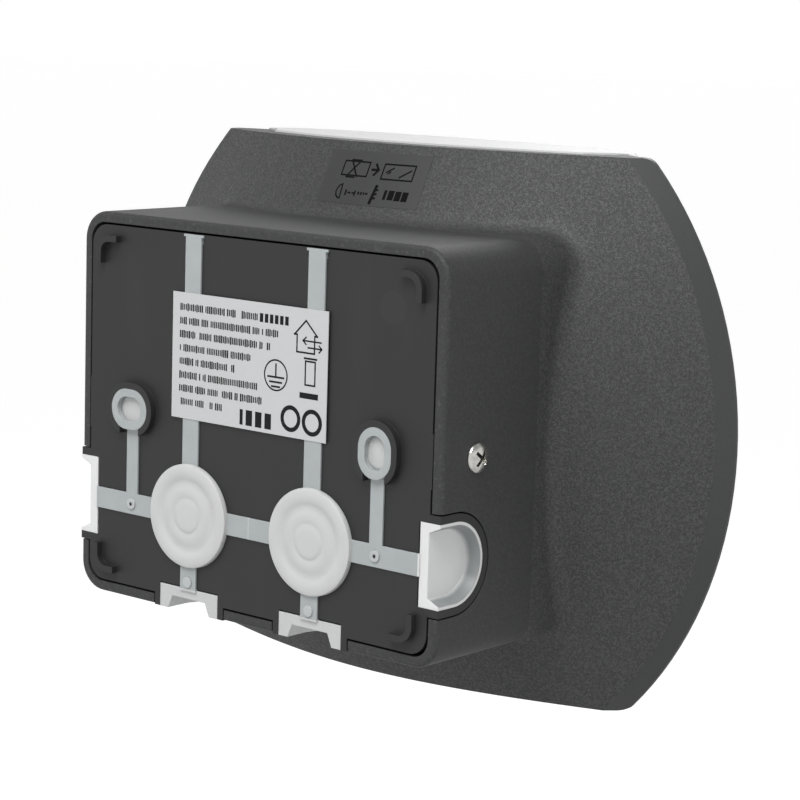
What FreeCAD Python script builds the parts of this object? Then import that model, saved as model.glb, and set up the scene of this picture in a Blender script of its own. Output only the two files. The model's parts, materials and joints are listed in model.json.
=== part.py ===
import FreeCAD, Part
import math
import os
import Sketcher

# Wall light with a motion sensor. Millimetres. The wall is the plane Y = 0, the light faces -Y, +Z is up.
# The origin is the middle of the wall plate, on the wall. A depth is counted forward from the rear rim,
# which stands off the wall by standOff.

Vector = FreeCAD.Vector
doc = FreeCAD.newDocument("wallLight")

sizes = {
    # rear box of the housing
    "standOff": 2.0,
    "boxWide": 130.0,
    "boxHigh": 106.4,
    "boxRound": 8.0,
    "boxWall": 2.9,
    "rimRound": 1.2,
    "roomDeep": 36.0,
    "floorThick": 2.5,
    # round pan of the housing, radii and depths of its section
    "panRootIn": 3.2,
    "panRootDeep": 37.1,
    "panEdgeRound": 102.8,
    "panEdgeDeep": 63.8,
    "panWall": 2.9,
    "seatRound": 99.4,
    "ringStartDeep": 66.5,
    "lipRound": 106.0,
    "lipDeep": 68.4,
    "lipThick": 1.0,
    "lipFrontDeep": 72.5,
    "ringBore": 96.6,
    "lampHigh": 148.0,
    "lipCorner": 5.0,
    "flatWall": 2.6,
    "flatDeep": 6.4,
    "coveRound": 6.0,
    # wall plate
    "plateMargin": 3.5,
    "plateRound": 5.5,
    "plateThick": 2.5,
    "ribWide": 1.8,
    "ribInAcross": 3.3,
    "ribInUp": 2.7,
    "ribArm": 7.8,
    "ribRound": 4.6,
    "collarWide": 1.8,
    "lugThick": 4.4,
    "lugWide": 14.0,
    "lugDeep": 20.0,
    "lugGap": 0.3,
    "tongueGap": 0.4,
    "tongueThick": 5.8,
    # cable entries, side and bottom
    "entryHalf": 13.4,
    "entryStraight": 6.3,
    "sideEntryDown": 26.3,
    "bottomEntryOut": 22.2,
    "cupHalf": 10.9,
    "cupLeg": 0.7,
    "bottomCupLeg": 2.9,
    "cupFloor": 2.8,
    "cupTaper": 1.8,
    # soft seal moulded on the wall plate
    "grommetOut": 22.15,
    "grommetDown": 26.5,
    "grommetRound": 14.2,
    "grommetProud": 1.08,
    "grommetHole": 11.5,
    "grommetLip": 13.0,
    "grommetLipThick": 1.2,
    "membraneRound": 9.5,
    "membraneStep": 0.35,
    "nippleRound": 4.75,
    "runnerProud": 0.5,
    "runnerSunk": 0.8,
    "runnerWide": 5.8,
    "runnerTopIn": 0.7,
    "flareWide": 1.4,
    "flareHigh": 1.8,
    "thinRunnerWide": 4.3,
    "gateRound": 1.5,
    # wall screw plugs
    "plugOut": 44.4,
    "leftPlugWide": 13.6,
    "leftPlugHigh": 11.2,
    "rightPlugWide": 11.0,
    "rightPlugHigh": 13.4,
    "plugRim": 2.2,
    "plugRecess": 1.6,
    # side screws
    "sideScrewDeep": 13.65,
    "sideScrewHead": 3.9,
    "sideScrewHeadHigh": 2.4,
    "sideScrewShank": 2.0,
    "sideScrewLong": 9.0,
    "shankGap": 0.05,
    "holeGap": 0.3,
    # labels
    "labelWide": 56.0,
    "labelHigh": 34.0,
    "labelAcross": 1.2,
    "labelBottom": 0.0,
    "labelThick": 0.2,
    "filmWide": 36.0,
    "filmAcross": 3.0,
    "filmBottomUp": 4.3,
    "filmTopIn": 2.5,
    "filmThick": 0.15,
    # terminal block and the leads to the driver
    "terminalWide": 28.0,
    "terminalHigh": 16.0,
    "terminalDeep": 15.0,
    "terminalDown": 39.2,
    "poleStep": 8.0,
    "clampSide": 5.2,
    "clampBore": 1.7,
    "clampDeep": 10.0,
    "clampInset": 1.0,
    "clampScrewHead": 1.9,
    "clampScrewHeadHigh": 1.8,
    "clampScrewShank": 1.4,
    "leadRadius": 1.1,
    "glandDown": 15.2,
    "glandRound": 8.0,
    "glandHole": 6.4,
    "glandLip": 1.5,
    "glandStep": 4.0,
    # driver board
    "boardDeep": 44.0,
    "boardThick": 1.6,
    "driverWide": 110.0,
    "driverBottomIn": 15.2,
    "driverTopIn": 7.2,
    "boardHoleInset": 5.0,
    "driverBoss": 3.2,
    "smallHead": 2.7,
    "smallHeadHigh": 1.8,
    "smallShank": 1.45,
    "smallLong": 5.0,
    "transformerWide": 20.0,
    "transformerHigh": 18.0,
    "transformerDeep": 17.0,
    "capacitorRound": 6.5,
    "capacitorTall": 18.0,
    "chokeRound": 6.0,
    "chokeTall": 12.0,
    "fuseRound": 2.6,
    "fuseLong": 20.0,
    "varistorRound": 5.5,
    "varistorThick": 4.0,
    "bridgeWide": 15.0,
    "bridgeThick": 3.6,
    "bridgeTall": 10.5,
    "chipWide": 8.6,
    "chipHigh": 4.0,
    "chipThick": 1.5,
    "relayWide": 19.0,
    "relayHigh": 15.5,
    "relayTall": 15.8,
    # reflector tray and the board of light chips
    "trayDeep": 66.0,
    "trayThick": 1.0,
    "trayRound": 92.0,
    "trayHigh": 138.0,
    "trayCorner": 6.0,
    "trayRim": 6.0,
    "trayBossOut": 78.0,
    "trayBossUp": 30.0,
    "trayBoss": 4.0,
    "ledBoardWide": 132.0,
    "ledBoardRound": 12.0,
    "ledMargin": 6.5,
    "ledScrewIn": 15.0,
    "leadWindowWide": 24.0,
    "leadWindowDown": 13.0,
    "leadWindowUp": 9.0,
    "bobbinThick": 3.0,
    "ledBoardBottom": -18.0,
    "ledBoardTop": 60.0,
    "ledWide": 3.5,
    "ledHigh": 2.8,
    "ledThick": 0.8,
    "ledStepUp": 14.5,
    "wireRadius": 0.8,
    "wireWindow": 4.6,
    # diffuser and its seal
    "diffuserRound": 98.8,
    "diffuserFront": 100.0,
    "diffuserEdgeRound": 14.0,
    "diffuserWall": 2.2,
    "diffuserProud": 0.4,
    "seatGap": 0.04,
    "sealThick": 1.0,
    "sealIn": 0.2,
    "spigotGap": 0.4,
    "spigotWall": 2.0,
    "spigotDeep": 5.0,
    "hookOut": 30.0,
    "hookWide": 5.0,
    "hookThick": 1.8,
    "hookReach": 5.6,
    "hookGap": 0.4,
    "hookBarb": 0.9,
    "barbDeep": 1.0,
    "barbGap": 0.25,
    "hookFootDeep": 3.0,
    "ringLedge": 0.4,
    # sensor pod
    "podHalf": 23.0,
    "podDown": 49.0,
    "podWall": 2.2,
    "podFront": 99.5,
    "podGap": 0.4,
    "podFlange": 6.0,
    "podFlangeThick": 1.6,
    "podScrewOut": 26.2,
    "podScrewDown": 45.0,
    "postRound": 2.6,
    "postOut": 17.6,
    "postUp": 12.8,
    "lensHole": 15.2,
    "lensGap": 0.3,
    "lensFlange": 17.0,
    "lensFlangeThick": 1.2,
    "lensWall": 0.8,
    "lensNeck": 1.2,
    "lensBulge": 4.6,
    "ringThick": 1.6,
    "ringWide": 2.0,
    "sensorBoardDeep": 84.0,
    "sensorBoardGap": 0.5,
    "detectorRound": 4.1,
    "detectorFlange": 4.6,
    "detectorTall": 4.3,
    "detectorWindow": 1.9,
    "lightRound": 2.5,
    "lightTall": 2.2,
    "lightOut": 8.0,
    "sensorLeadRound": 1.3,
    "sensorLeadOut": 6.0,
    "sensorLeadDown": 3.0,
    "sensorLeadDrop": 12.0,
    "sensorLeadUp": 9.0,
    # setting knobs under the pod
    "knobDeep": 79.6,
    "knobStep": 13.5,
    "knobRound": 4.4,
    "knobSunk": 0.4,
    "knobFlange": 5.9,
    "knobFlangeThick": 1.2,
    "knobShank": 1.5,
    "knobSlotWide": 1.2,
    "knobSlotDeep": 1.0,
    "knobSealRound": 0.5,
    "knobRunGap": 0.1,
    "potWide": 9.6,
    "potHigh": 5.5,
    "potUp": 7.0,
    "potBore": 4.2,
}


class Size:
    # a number together with the sheet expression that gives it
    def __init__(self, value, text):
        self.value = value
        self.text = text

    def join(self, mark, other, value):
        return Size(value, "(%s %s %s)" % (self.text, mark, other.text))

    def __add__(self, other):
        other = asSize(other)
        return self.join("+", other, self.value + other.value)

    def __sub__(self, other):
        other = asSize(other)
        return self.join("-", other, self.value - other.value)

    def __mul__(self, other):
        other = asSize(other)
        return self.join("*", other, self.value * other.value)

    def __truediv__(self, other):
        other = asSize(other)
        return self.join("/", other, self.value / other.value)

    def __radd__(self, other):
        return asSize(other) + self

    def __rsub__(self, other):
        return asSize(other) - self

    def __rmul__(self, other):
        return asSize(other) * self

    def __neg__(self):
        return Size(-self.value, "(0 - %s)" % self.text)


def asSize(number):
    if isinstance(number, Size):
        return number
    return Size(float(number), "(%.9g)" % number if number < 0 else "%.9g" % number)


def root(size):
    return Size(math.sqrt(size.value), "sqrt(%s)" % size.text)


class Named:
    pass


sheet = doc.addObject("Spreadsheet::Sheet", "Sizes")
for row, (alias, number) in enumerate(sizes.items(), 1):
    sheet.set("A%d" % row, alias)
    sheet.set("B%d" % row, str(number))
    sheet.setAlias("B%d" % row, alias)
doc.recompute()
of = Named()
for alias in sizes:
    setattr(of, alias, Size(float(sheet.get(alias)), "Sizes." + alias))

nodes = []


def node(label, piece):
    piece.Label = label
    nodes.append(piece)


def deep(depth):
    # Y of a depth
    return -(of.standOff + depth)


def bind(piece, prop, size):
    piece.setExpression(prop, asSize(size).text)


def place(piece, x, y, z):
    for axis, size in zip("xyz", (x, y, z)):
        bind(piece, "Placement.Base." + axis, size)


# Primitives

alongAxis = {
    "X": FreeCAD.Rotation(Vector(0, 1, 0), 90),
    "Y": FreeCAD.Rotation(Vector(1, 0, 0), -90),
    "Z": FreeCAD.Rotation(),
}


def block(name, x, y, z):
    piece = doc.addObject("Part::Box", name)
    for prop, span in (("Length", x), ("Width", y), ("Height", z)):
        bind(piece, prop, asSize(span[1]) - span[0])
    place(piece, x[0], y[0], z[0])
    return piece


def slab(name, x, depth, z):
    # block between two depths
    return block(name, x, (deep(depth[1]), deep(depth[0])), z)


def around(centre, wide):
    return (asSize(centre) - asSize(wide) / 2, asSize(centre) + asSize(wide) / 2)


def rod(name, axis, start, radius, length):
    piece = doc.addObject("Part::Cylinder", name)
    piece.Placement = FreeCAD.Placement(Vector(), alongAxis[axis])
    bind(piece, "Radius", radius)
    bind(piece, "Height", length)
    place(piece, *start)
    return piece


def forwardRod(name, x, z, radius, depths):
    # rod along Y between two depths
    return rod(name, "Y", (x, deep(depths[1]), z), radius, asSize(depths[1]) - depths[0])


def ringOf(name, axis, centre, radius, thick):
    piece = doc.addObject("Part::Torus", name)
    piece.Placement = FreeCAD.Placement(Vector(), alongAxis[axis])
    bind(piece, "Radius1", radius)
    bind(piece, "Radius2", thick)
    place(piece, *centre)
    return piece


def fuse(name, *pieces):
    piece = doc.addObject("Part::MultiFuse", name)
    piece.Shapes = list(pieces)
    return piece


def common(name, *pieces):
    piece = doc.addObject("Part::MultiCommon", name)
    piece.Shapes = list(pieces)
    return piece


def cut(name, base, *tools):
    piece = doc.addObject("Part::Cut", name)
    piece.Base = base
    piece.Tool = tools[0] if len(tools) == 1 else fuse(name + "Tools", *tools)
    return piece


def group(name, pieces):
    piece = doc.addObject("Part::Compound", name)
    piece.Links = list(pieces)
    return piece


# Sketched bodies. An outline is a list of points (u, v), and a third value in a point is the radius of the
# arc that arrives there, positive where the arc bends left.

def arcMiddle(start, end, radius):
    chord = end - start
    sagitta = abs(radius) - math.sqrt(max(radius * radius - chord.Length ** 2 / 4, 0.0))
    side = Vector(chord.y, -chord.x, 0) * (1 if radius > 0 else -1)
    return (start + end) * 0.5 + side * (sagitta / chord.Length)


def drawOutline(sketch, points):
    first = sketch.GeometryCount
    count = len(points)
    spots = [Vector(asSize(p[0]).value, asSize(p[1]).value, 0) for p in points]
    ends = []
    for index in range(count):
        start = spots[index]
        after = (index + 1) % count
        end = spots[after]
        if len(points[after]) == 2:
            sketch.addGeometry(Part.LineSegment(start, end), False)
            ends.append((1, 2))
            continue
        bend = asSize(points[after][2])
        middle = arcMiddle(start, end, bend.value)
        if bend.value > 0:
            sketch.addGeometry(Part.Arc(start, middle, end), False)
            ends.append((1, 2))
        else:
            sketch.addGeometry(Part.Arc(end, middle, start), False)
            ends.append((2, 1))
    for index in range(count):
        after = (index + 1) % count
        joint = (first + index, ends[index][1], first + after, ends[after][0])
        sketch.addConstraint(Sketcher.Constraint("Coincident", *joint))
    for index, point in enumerate(points):
        for kind, size in zip(("DistanceX", "DistanceY"), point[:2]):
            size = asSize(size)
            rule = Sketcher.Constraint(kind, -1, 1, first + index, ends[index][0], size.value)
            number = sketch.addConstraint(rule)
            sketch.setExpression("Constraints[%d]" % number, size.text)
        if len(point) == 3:
            size = asSize(point[2])
            if size.value < 0:
                size = -size
            rule = Sketcher.Constraint("Radius", first + (index - 1) % count, size.value)
            number = sketch.addConstraint(rule)
            sketch.setExpression("Constraints[%d]" % number, size.text)


def drawCircle(sketch, circle):
    u, v, radius = [asSize(number) for number in circle]
    centre = Vector(u.value, v.value, 0)
    shape = sketch.addGeometry(Part.Circle(centre, Vector(0, 0, 1), radius.value), False)
    rules = (("DistanceX", u), ("DistanceY", v))
    for kind, size in rules:
        number = sketch.addConstraint(Sketcher.Constraint(kind, -1, 1, shape, 3, size.value))
        sketch.setExpression("Constraints[%d]" % number, size.text)
    number = sketch.addConstraint(Sketcher.Constraint("Radius", shape, radius.value))
    sketch.setExpression("Constraints[%d]" % number, radius.text)


def drawnSketch(body, name, plane, loops, start):
    sketch = body.newObject("Sketcher::SketchObject", name)
    origin = [item for item in body.Origin.OriginFeatures if item.Role == plane]
    sketch.AttachmentSupport = [(origin[0], "")]
    sketch.MapMode = "FlatFace"
    bind(sketch, "AttachmentOffset.Base.z", start)
    for loop in loops:
        if isinstance(loop, tuple):
            drawCircle(sketch, loop)
        else:
            drawOutline(sketch, loop)
    return sketch


def prism(name, plane, loops, start, length):
    # XZ_Plane grows toward the light's front, YZ_Plane toward +X, XY_Plane toward +Z
    body = doc.addObject("PartDesign::Body", name)
    sketch = drawnSketch(body, name + "Sketch", plane, loops, start)
    pad = body.newObject("PartDesign::Pad", name + "Pad")
    pad.Profile = sketch
    bind(pad, "Length", length)
    return body


def sheetOf(name, loops, depths):
    # prism between two depths
    return prism(name, "XZ_Plane", loops, of.standOff + depths[0], asSize(depths[1]) - depths[0])


def taper(name, plane, outlineA, startA, outlineB, startB):
    body = doc.addObject("PartDesign::Body", name)
    near = drawnSketch(body, name + "Near", plane, [outlineA], startA)
    far = drawnSketch(body, name + "Far", plane, [outlineB], startB)
    loft = body.newObject("PartDesign::AdditiveLoft", name + "Loft")
    loft.Profile = near
    loft.Sections = [far]
    loft.Ruled = True
    return body


def lathe(name, axis, points, centre=(0, 0, 0)):
    # turned solid; points are (radius, height along the axis), for Y the second value is a depth
    if axis == "Y":
        points = [(p[0], deep(p[1])) + tuple(p[2:]) for p in points]
        points = mirrored(points)
        plane = "XY_Plane"
    else:
        plane = "XZ_Plane"
    body = doc.addObject("PartDesign::Body", name)
    sketch = drawnSketch(body, name + "Sketch", plane, [points], 0)
    turn = body.newObject("PartDesign::Revolution", name + "Turn")
    turn.Profile = sketch
    turn.ReferenceAxis = (sketch, ["V_Axis"])
    turn.Angle = 360
    place(body, *centre)
    return body


def mirrored(points):
    # depth runs against Y, so an arc that bends left in (radius, depth) bends right in (X, Y)
    return [p if len(p) == 2 else (p[0], p[1], -asSize(p[2])) for p in points]


def softRect(halfU, halfV, corner, u=0, v=0):
    left, right = asSize(u) - halfU, asSize(u) + halfU
    low, high = asSize(v) - halfV, asSize(v) + halfV
    return [
        (left + corner, low, corner),
        (right - corner, low),
        (right, low + corner, corner),
        (right, high - corner),
        (right - corner, high, corner),
        (left + corner, high),
        (left, high - corner, corner),
        (left, low + corner),
    ]


def plainRect(u, v):
    return [(u[0], v[0]), (u[1], v[0]), (u[1], v[1]), (u[0], v[1])]


def cutDisc(radius, high, corner):
    # disc with its top and bottom cut off flat and the corners rounded
    half = asSize(high) / 2
    out = root((radius - corner) * (radius - corner) - (half - corner) * (half - corner))
    share = radius / (radius - corner)
    side = out * share
    level = (half - corner) * share
    return [
        (-out, -half, corner),
        (out, -half),
        (side, -level, corner),
        (radius, 0, radius),
        (side, level, radius),
        (out, half, corner),
        (-out, half),
        (-side, level, corner),
        (-radius, 0, radius),
        (-side, -level, radius),
    ]


def stadium(halfU, halfV, u, v=0):
    # rounded slot, longer in U or in V
    u, v = asSize(u), asSize(v)
    if halfU.value > halfV.value:
        run = halfU - halfV
        return [
            (u - run, v - halfV, halfV),
            (u + run, v - halfV),
            (u + halfU, v, halfV),
            (u + run, v + halfV, halfV),
            (u - run, v + halfV),
            (u - halfU, v, halfV),
        ]
    run = halfV - halfU
    return [
        (u + halfU, v - run, halfU),
        (u + halfU, v + run),
        (u, v + halfV, halfU),
        (u - halfU, v + run, halfU),
        (u - halfU, v - run),
        (u, v - halfV, halfU),
    ]


def arch(half, middle, low):
    # straight sides and a round top
    return [
        (-half, low),
        (half, low),
        (half, middle),
        (0, middle + half, half),
        (-half, middle, half),
    ]


def entryAcross(half, straight, rear, centre):
    # cable entry in plan: straight sides, round front; U across, V is Y
    front = deep(straight)
    return [
        (centre - half, rear),
        (centre - half, front),
        (centre, front - half, half),
        (centre + half, front, half),
        (centre + half, rear),
    ]


def entryUpright(half, straight, rear, centre):
    # the same entry on a side wall; U is Y, V up
    front = deep(straight)
    return [
        (rear, centre - half),
        (rear, centre + half),
        (front, centre + half),
        (front - half, centre, half),
        (front, centre - half, half),
    ]


def screw(name, axis, sense, seat, head, headHigh, shank, long):
    # cross-recess screw; the head lies on the sense side of the seat
    x, y, z = [asSize(number) for number in seat]
    along = {"X": 0, "Y": 1, "Z": 2}[axis]
    spot = [x, y, z]

    def shifted(amount):
        moved = list(spot)
        moved[along] = moved[along] + amount
        return moved

    headStart = shifted(0) if sense > 0 else shifted(-asSize(headHigh))
    shankStart = shifted(-asSize(long)) if sense > 0 else shifted(0)
    headRod = rod(name + "Head", axis, headStart, head, headHigh)
    shankRod = rod(name + "Shank", axis, shankStart, shank, long)
    solid = fuse(name + "Solid", headRod, shankRod)
    reach = asSize(head) * 0.62
    half = asSize(head) * 0.13
    tip = asSize(headHigh)
    bars = []
    for turn in (0, 1):
        spans = []
        across = [reach, half] if turn else [half, reach]
        for index in range(3):
            if index == along:
                low = spot[index] + tip * 0.45 if sense > 0 else spot[index] - tip
                high = spot[index] + tip if sense > 0 else spot[index] - tip * 0.45
                spans.append((low, high))
            else:
                width = across.pop()
                spans.append((spot[index] - width, spot[index] + width))
        bars.append(block(name + "Bar%d" % turn, *spans))
    return cut(name, solid, *bars)


def tube(name, points, radius):
    # lead of straight runs joined by tangent arcs
    spots = [Vector(*[asSize(number).value for number in point]) for point in points]
    radius = asSize(radius).value
    edges = []
    start = spots[0]
    bends = []
    for before, corner, after in zip(spots, spots[1:], spots[2:]):
        inward = before - corner
        outward = after - corner
        turn = math.pi - inward.getAngle(outward)
        reach = 0.45 * min(inward.Length, outward.Length)
        bend = reach / math.tan(turn / 2)
        bends.append(bend)
        inward = inward * (1 / inward.Length)
        outward = outward * (1 / outward.Length)
        arrive = corner + inward * reach
        leave = corner + outward * reach
        middle = inward + outward
        middle = middle * (1 / middle.Length)
        crown = corner + middle * (bend / math.cos(turn / 2) - bend)
        edges.append(Part.LineSegment(start, arrive).toShape())
        edges.append(Part.Arc(arrive, crown, leave).toShape())
        start = leave
    edges.append(Part.LineSegment(start, spots[-1]).toShape())
    path = Part.Wire(edges)
    circle = Part.Circle(spots[0], spots[1] - spots[0], radius)
    piece = doc.addObject("Part::Feature", name)
    piece.Shape = path.makePipeShell([Part.Wire(circle.toShape())], True, False)
    piece.Placement = FreeCAD.Placement()
    share = piece.Shape.Volume / (math.pi * radius ** 2 * path.Length)
    print("%s: bends %s, volume share %.3f" % (name, ["%.1f" % b for b in bends], share))
    return piece


# Shared places

panRoot = of.boxHigh / 2 - of.panRootIn
plateWide = of.boxWide - of.plateMargin * 2
plateHigh = of.boxHigh - of.plateMargin * 2
driverTop = of.boxHigh / 2 - of.driverTopIn
driverBottom = of.driverBottomIn - of.boxHigh / 2
glandUp = of.boxHigh / 2 - of.glandDown
terminalBottom = of.boxHigh / 2 - of.terminalDown
slope = (of.panEdgeDeep - of.panRootDeep) / (of.panEdgeRound - panRoot)


def coneDeep(radius, offset=0):
    # depth of the pan's rear face at a radius
    return of.panRootDeep + (asSize(radius) - panRoot) * slope + offset


halfHigh = of.lampHigh / 2
innerHalf = halfHigh - of.flatWall
floorFront = of.roomDeep + of.floorThick
trayFront = of.trayDeep + of.trayThick
podLow = -halfHigh
everywhere = of.lipRound + 10


def housingNode():
    boxFront = coneDeep(root(of.boxWide * of.boxWide + of.boxHigh * of.boxHigh) / 2) + of.panWall
    outer = sheetOf("housingBox", [softRect(of.boxWide / 2, of.boxHigh / 2, of.boxRound)], (0, boxFront))
    wallStep = of.ringBore + of.ringLedge
    flatEnd = wallStep - of.boxRound / 2
    pan = lathe("housingPan", "Y", [
        (panRoot, of.panRootDeep),
        (of.panEdgeRound, of.panEdgeDeep),
        (of.lipRound, of.lipDeep),
        (of.lipRound, of.lipDeep + of.lipThick),
        (of.seatRound, of.lipFrontDeep),
        (wallStep, of.lipFrontDeep),
        (flatEnd, coneDeep(flatEnd, of.flatDeep)),
        (panRoot, coneDeep(panRoot, of.flatDeep)),
    ])
    outline = sheetOf("housingOutline", [cutDisc(of.lipRound, of.lampHigh, of.lipCorner)], (0, everywhere))
    panCut = common("housingPanCut", pan, outline)
    solid = fuse("housingSolid", outer, panCut)
    doc.recompute()
    coved = doc.addObject("Part::Fillet", "housingCoved")
    coved.Base = solid
    coved.Edges = [(number, of.coveRound.value, of.coveRound.value) for number in coveEdges(solid.Shape)]
    doc.recompute()
    rimmed = doc.addObject("Part::Fillet", "housingRimmed")
    rimmed.Base = coved
    rimmed.Edges = [(number, of.rimRound.value, of.rimRound.value) for number in rimEdges(coved.Shape)]
    innerWide = of.boxWide / 2 - of.boxWall
    innerTall = of.boxHigh / 2 - of.boxWall
    innerRect = softRect(innerWide, innerTall, of.boxRound - of.boxWall)
    room = sheetOf("housingRoom", [innerRect], (-1, of.roomDeep))
    bay = sheetOf("housingBay", [innerRect], (floorFront, boxFront + 1))
    panTool = lathe("housingPanTool", "Y", [
        (0, coneDeep(0, of.panWall)),
        (of.ringBore - of.panWall, coneDeep(of.ringBore - of.panWall, of.panWall)),
        (of.ringBore, of.ringStartDeep),
        (of.ringBore, of.lipFrontDeep + 2),
        (0, of.lipFrontDeep + 2),
    ])
    behindFloor = block("housingPanKeep", (-everywhere, everywhere),
                        (deep(everywhere), deep(floorFront)), (-innerHalf, innerHalf))
    panInner = common("housingPanInner", panTool, behindFloor)
    hollow = cut("housingHollow", rimmed, room, bay, panInner)

    # bosses stand on the floor and on the pan
    bosses = []
    for side in (-1, 1):
        for level in boardLevels():
            x = side * (of.driverWide / 2 - of.boardHoleInset)
            bosses.append(forwardRod("driverBoss", x, level, of.driverBoss, (of.roomDeep + 1, of.boardDeep)))
    towers = []
    for side in (-1, 1):
        for up in (-1, 1):
            towers.append(forwardRod("trayBoss", side * of.trayBossOut, up * of.trayBossUp, of.trayBoss,
                                     (of.roomDeep, of.trayDeep)))
    fill = lathe("trayBossRoom", "Y", [
        (0, coneDeep(0, of.panWall / 2)),
        (of.ringBore - 1, coneDeep(of.ringBore - 1, of.panWall / 2)),
        (of.ringBore - 1, of.lipFrontDeep),
        (0, of.lipFrontDeep),
    ])
    towersCut = common("trayBosses", fuse("trayTowers", *towers), fill)
    bossed = fuse("housingBossed", hollow, towersCut, *bosses)

    # cable entries, screw holes, gland hole, boss holes and hook windows
    down = -of.sideEntryDown
    sideEntry = prism("housingSideEntry", "YZ_Plane",
                      [entryUpright(of.entryHalf, of.entryStraight, 1, down)], -everywhere, everywhere * 2)
    tools = [sideEntry]
    for side in (-1, 1):
        plan = entryAcross(of.entryHalf, of.entryStraight, 1, side * of.bottomEntryOut)
        tools.append(prism("housingBottomEntry", "XY_Plane", [plan], -of.boxHigh / 2 - 1, of.boxHigh / 2))
    reach = of.boxWide / 2 + 1
    tools.append(rod("housingScrewHole", "X", (-reach, deep(of.sideScrewDeep), 0),
                     of.sideScrewShank + of.holeGap, reach * 2))
    tools.append(forwardRod("housingGlandHole", 0, glandUp, of.glandHole, (of.roomDeep - 1, floorFront + 1)))
    pilot = of.smallShank + of.shankGap
    for side in (-1, 1):
        for level in boardLevels():
            x = side * (of.driverWide / 2 - of.boardHoleInset)
            tools.append(forwardRod("driverPilot", x, level, pilot, (of.roomDeep + 2, of.boardDeep + 1)))
        for up in (-1, 1):
            tools.append(forwardRod("trayPilot", side * of.trayBossOut, up * of.trayBossUp, pilot,
                                    (of.trayDeep - of.smallLong, of.trayDeep + 1)))
            tools.append(slab("hookWindow", around(side * of.hookOut, of.hookWide + of.barbGap * 2),
                              hookBarbSpan(of.barbGap),
                              span(up, innerHalf - 1, innerHalf + of.hookBarb + of.barbGap)))
    node("housing", cut("housingDone", bossed, *tools))


def span(sign, near, far):
    # the same distance from the middle, above or below it
    return (near, far) if sign > 0 else (-far, -near)


def boardLevels():
    return (driverBottom + of.boardHoleInset, driverTop - of.boardHoleInset)


def coveEdges(shape):
    # edges where the box meets the pan's cone
    wide = of.boxWide.value / 2
    high = of.boxHigh.value / 2
    corner = of.boxRound.value
    found = []
    for number, edge in enumerate(shape.Edges, 1):
        start, end = edge.ParameterRange
        spots = [edge.valueAt(start + (end - start) * share) for share in (0.0, 0.3, 0.6, 1.0)]
        if all(onBox(spot, wide, high, corner) and onCone(spot) for spot in spots):
            found.append(number)
    return found


def onCone(spot):
    radius = math.hypot(spot.x, spot.z)
    return abs(-spot.y - of.standOff.value - coneDeep(radius).value) < 0.05


def onBox(spot, wide, high, corner):
    x = max(abs(spot.x) - (wide - corner), 0)
    z = max(abs(spot.z) - (high - corner), 0)
    return abs(math.hypot(x, z) - corner) < 0.05


def rimEdges(shape):
    # the outer edge of the rear rim
    found = []
    for number, edge in enumerate(shape.Edges, 1):
        box = edge.BoundBox
        if abs(box.YMax + of.standOff.value) < 0.01 and abs(box.YMin + of.standOff.value) < 0.01:
            found.append(number)
    return found


def hookBarbSpan(gap):
    # depths of the snap hooks' barbs, measured at the hook's place on the flat wall
    start = hookDeep() - of.hookReach
    return (start - gap, start + of.barbDeep + gap)


def hookDeep():
    # in front of the seal at the outer end of the hook's foot
    outEnd = of.hookOut + of.hookWide / 2
    spot = root(outEnd * outEnd + halfHigh * halfHigh)
    return coneDeep(spot, of.flatDeep + of.sealThick + of.lugGap)


def domeOutline(shrink, start):
    # half section of the dome from a height over the seal: a round shoulder that runs into a wide crown
    edge = of.diffuserRound - shrink
    front = of.diffuserFront - shrink
    small = of.diffuserEdgeRound - shrink
    base = of.lipFrontDeep + of.sealThick
    across = edge - small
    rise = front - base
    crown = (across * across + rise * rise - small * small) / (2 * (rise - small))
    share = small / (crown - small)
    joint = (across + across * share, base + (crown - rise) * share)
    first = (across + root(small * small - start * start), base + start)
    return [first, joint + (small,), (0, front, crown)]


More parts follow.
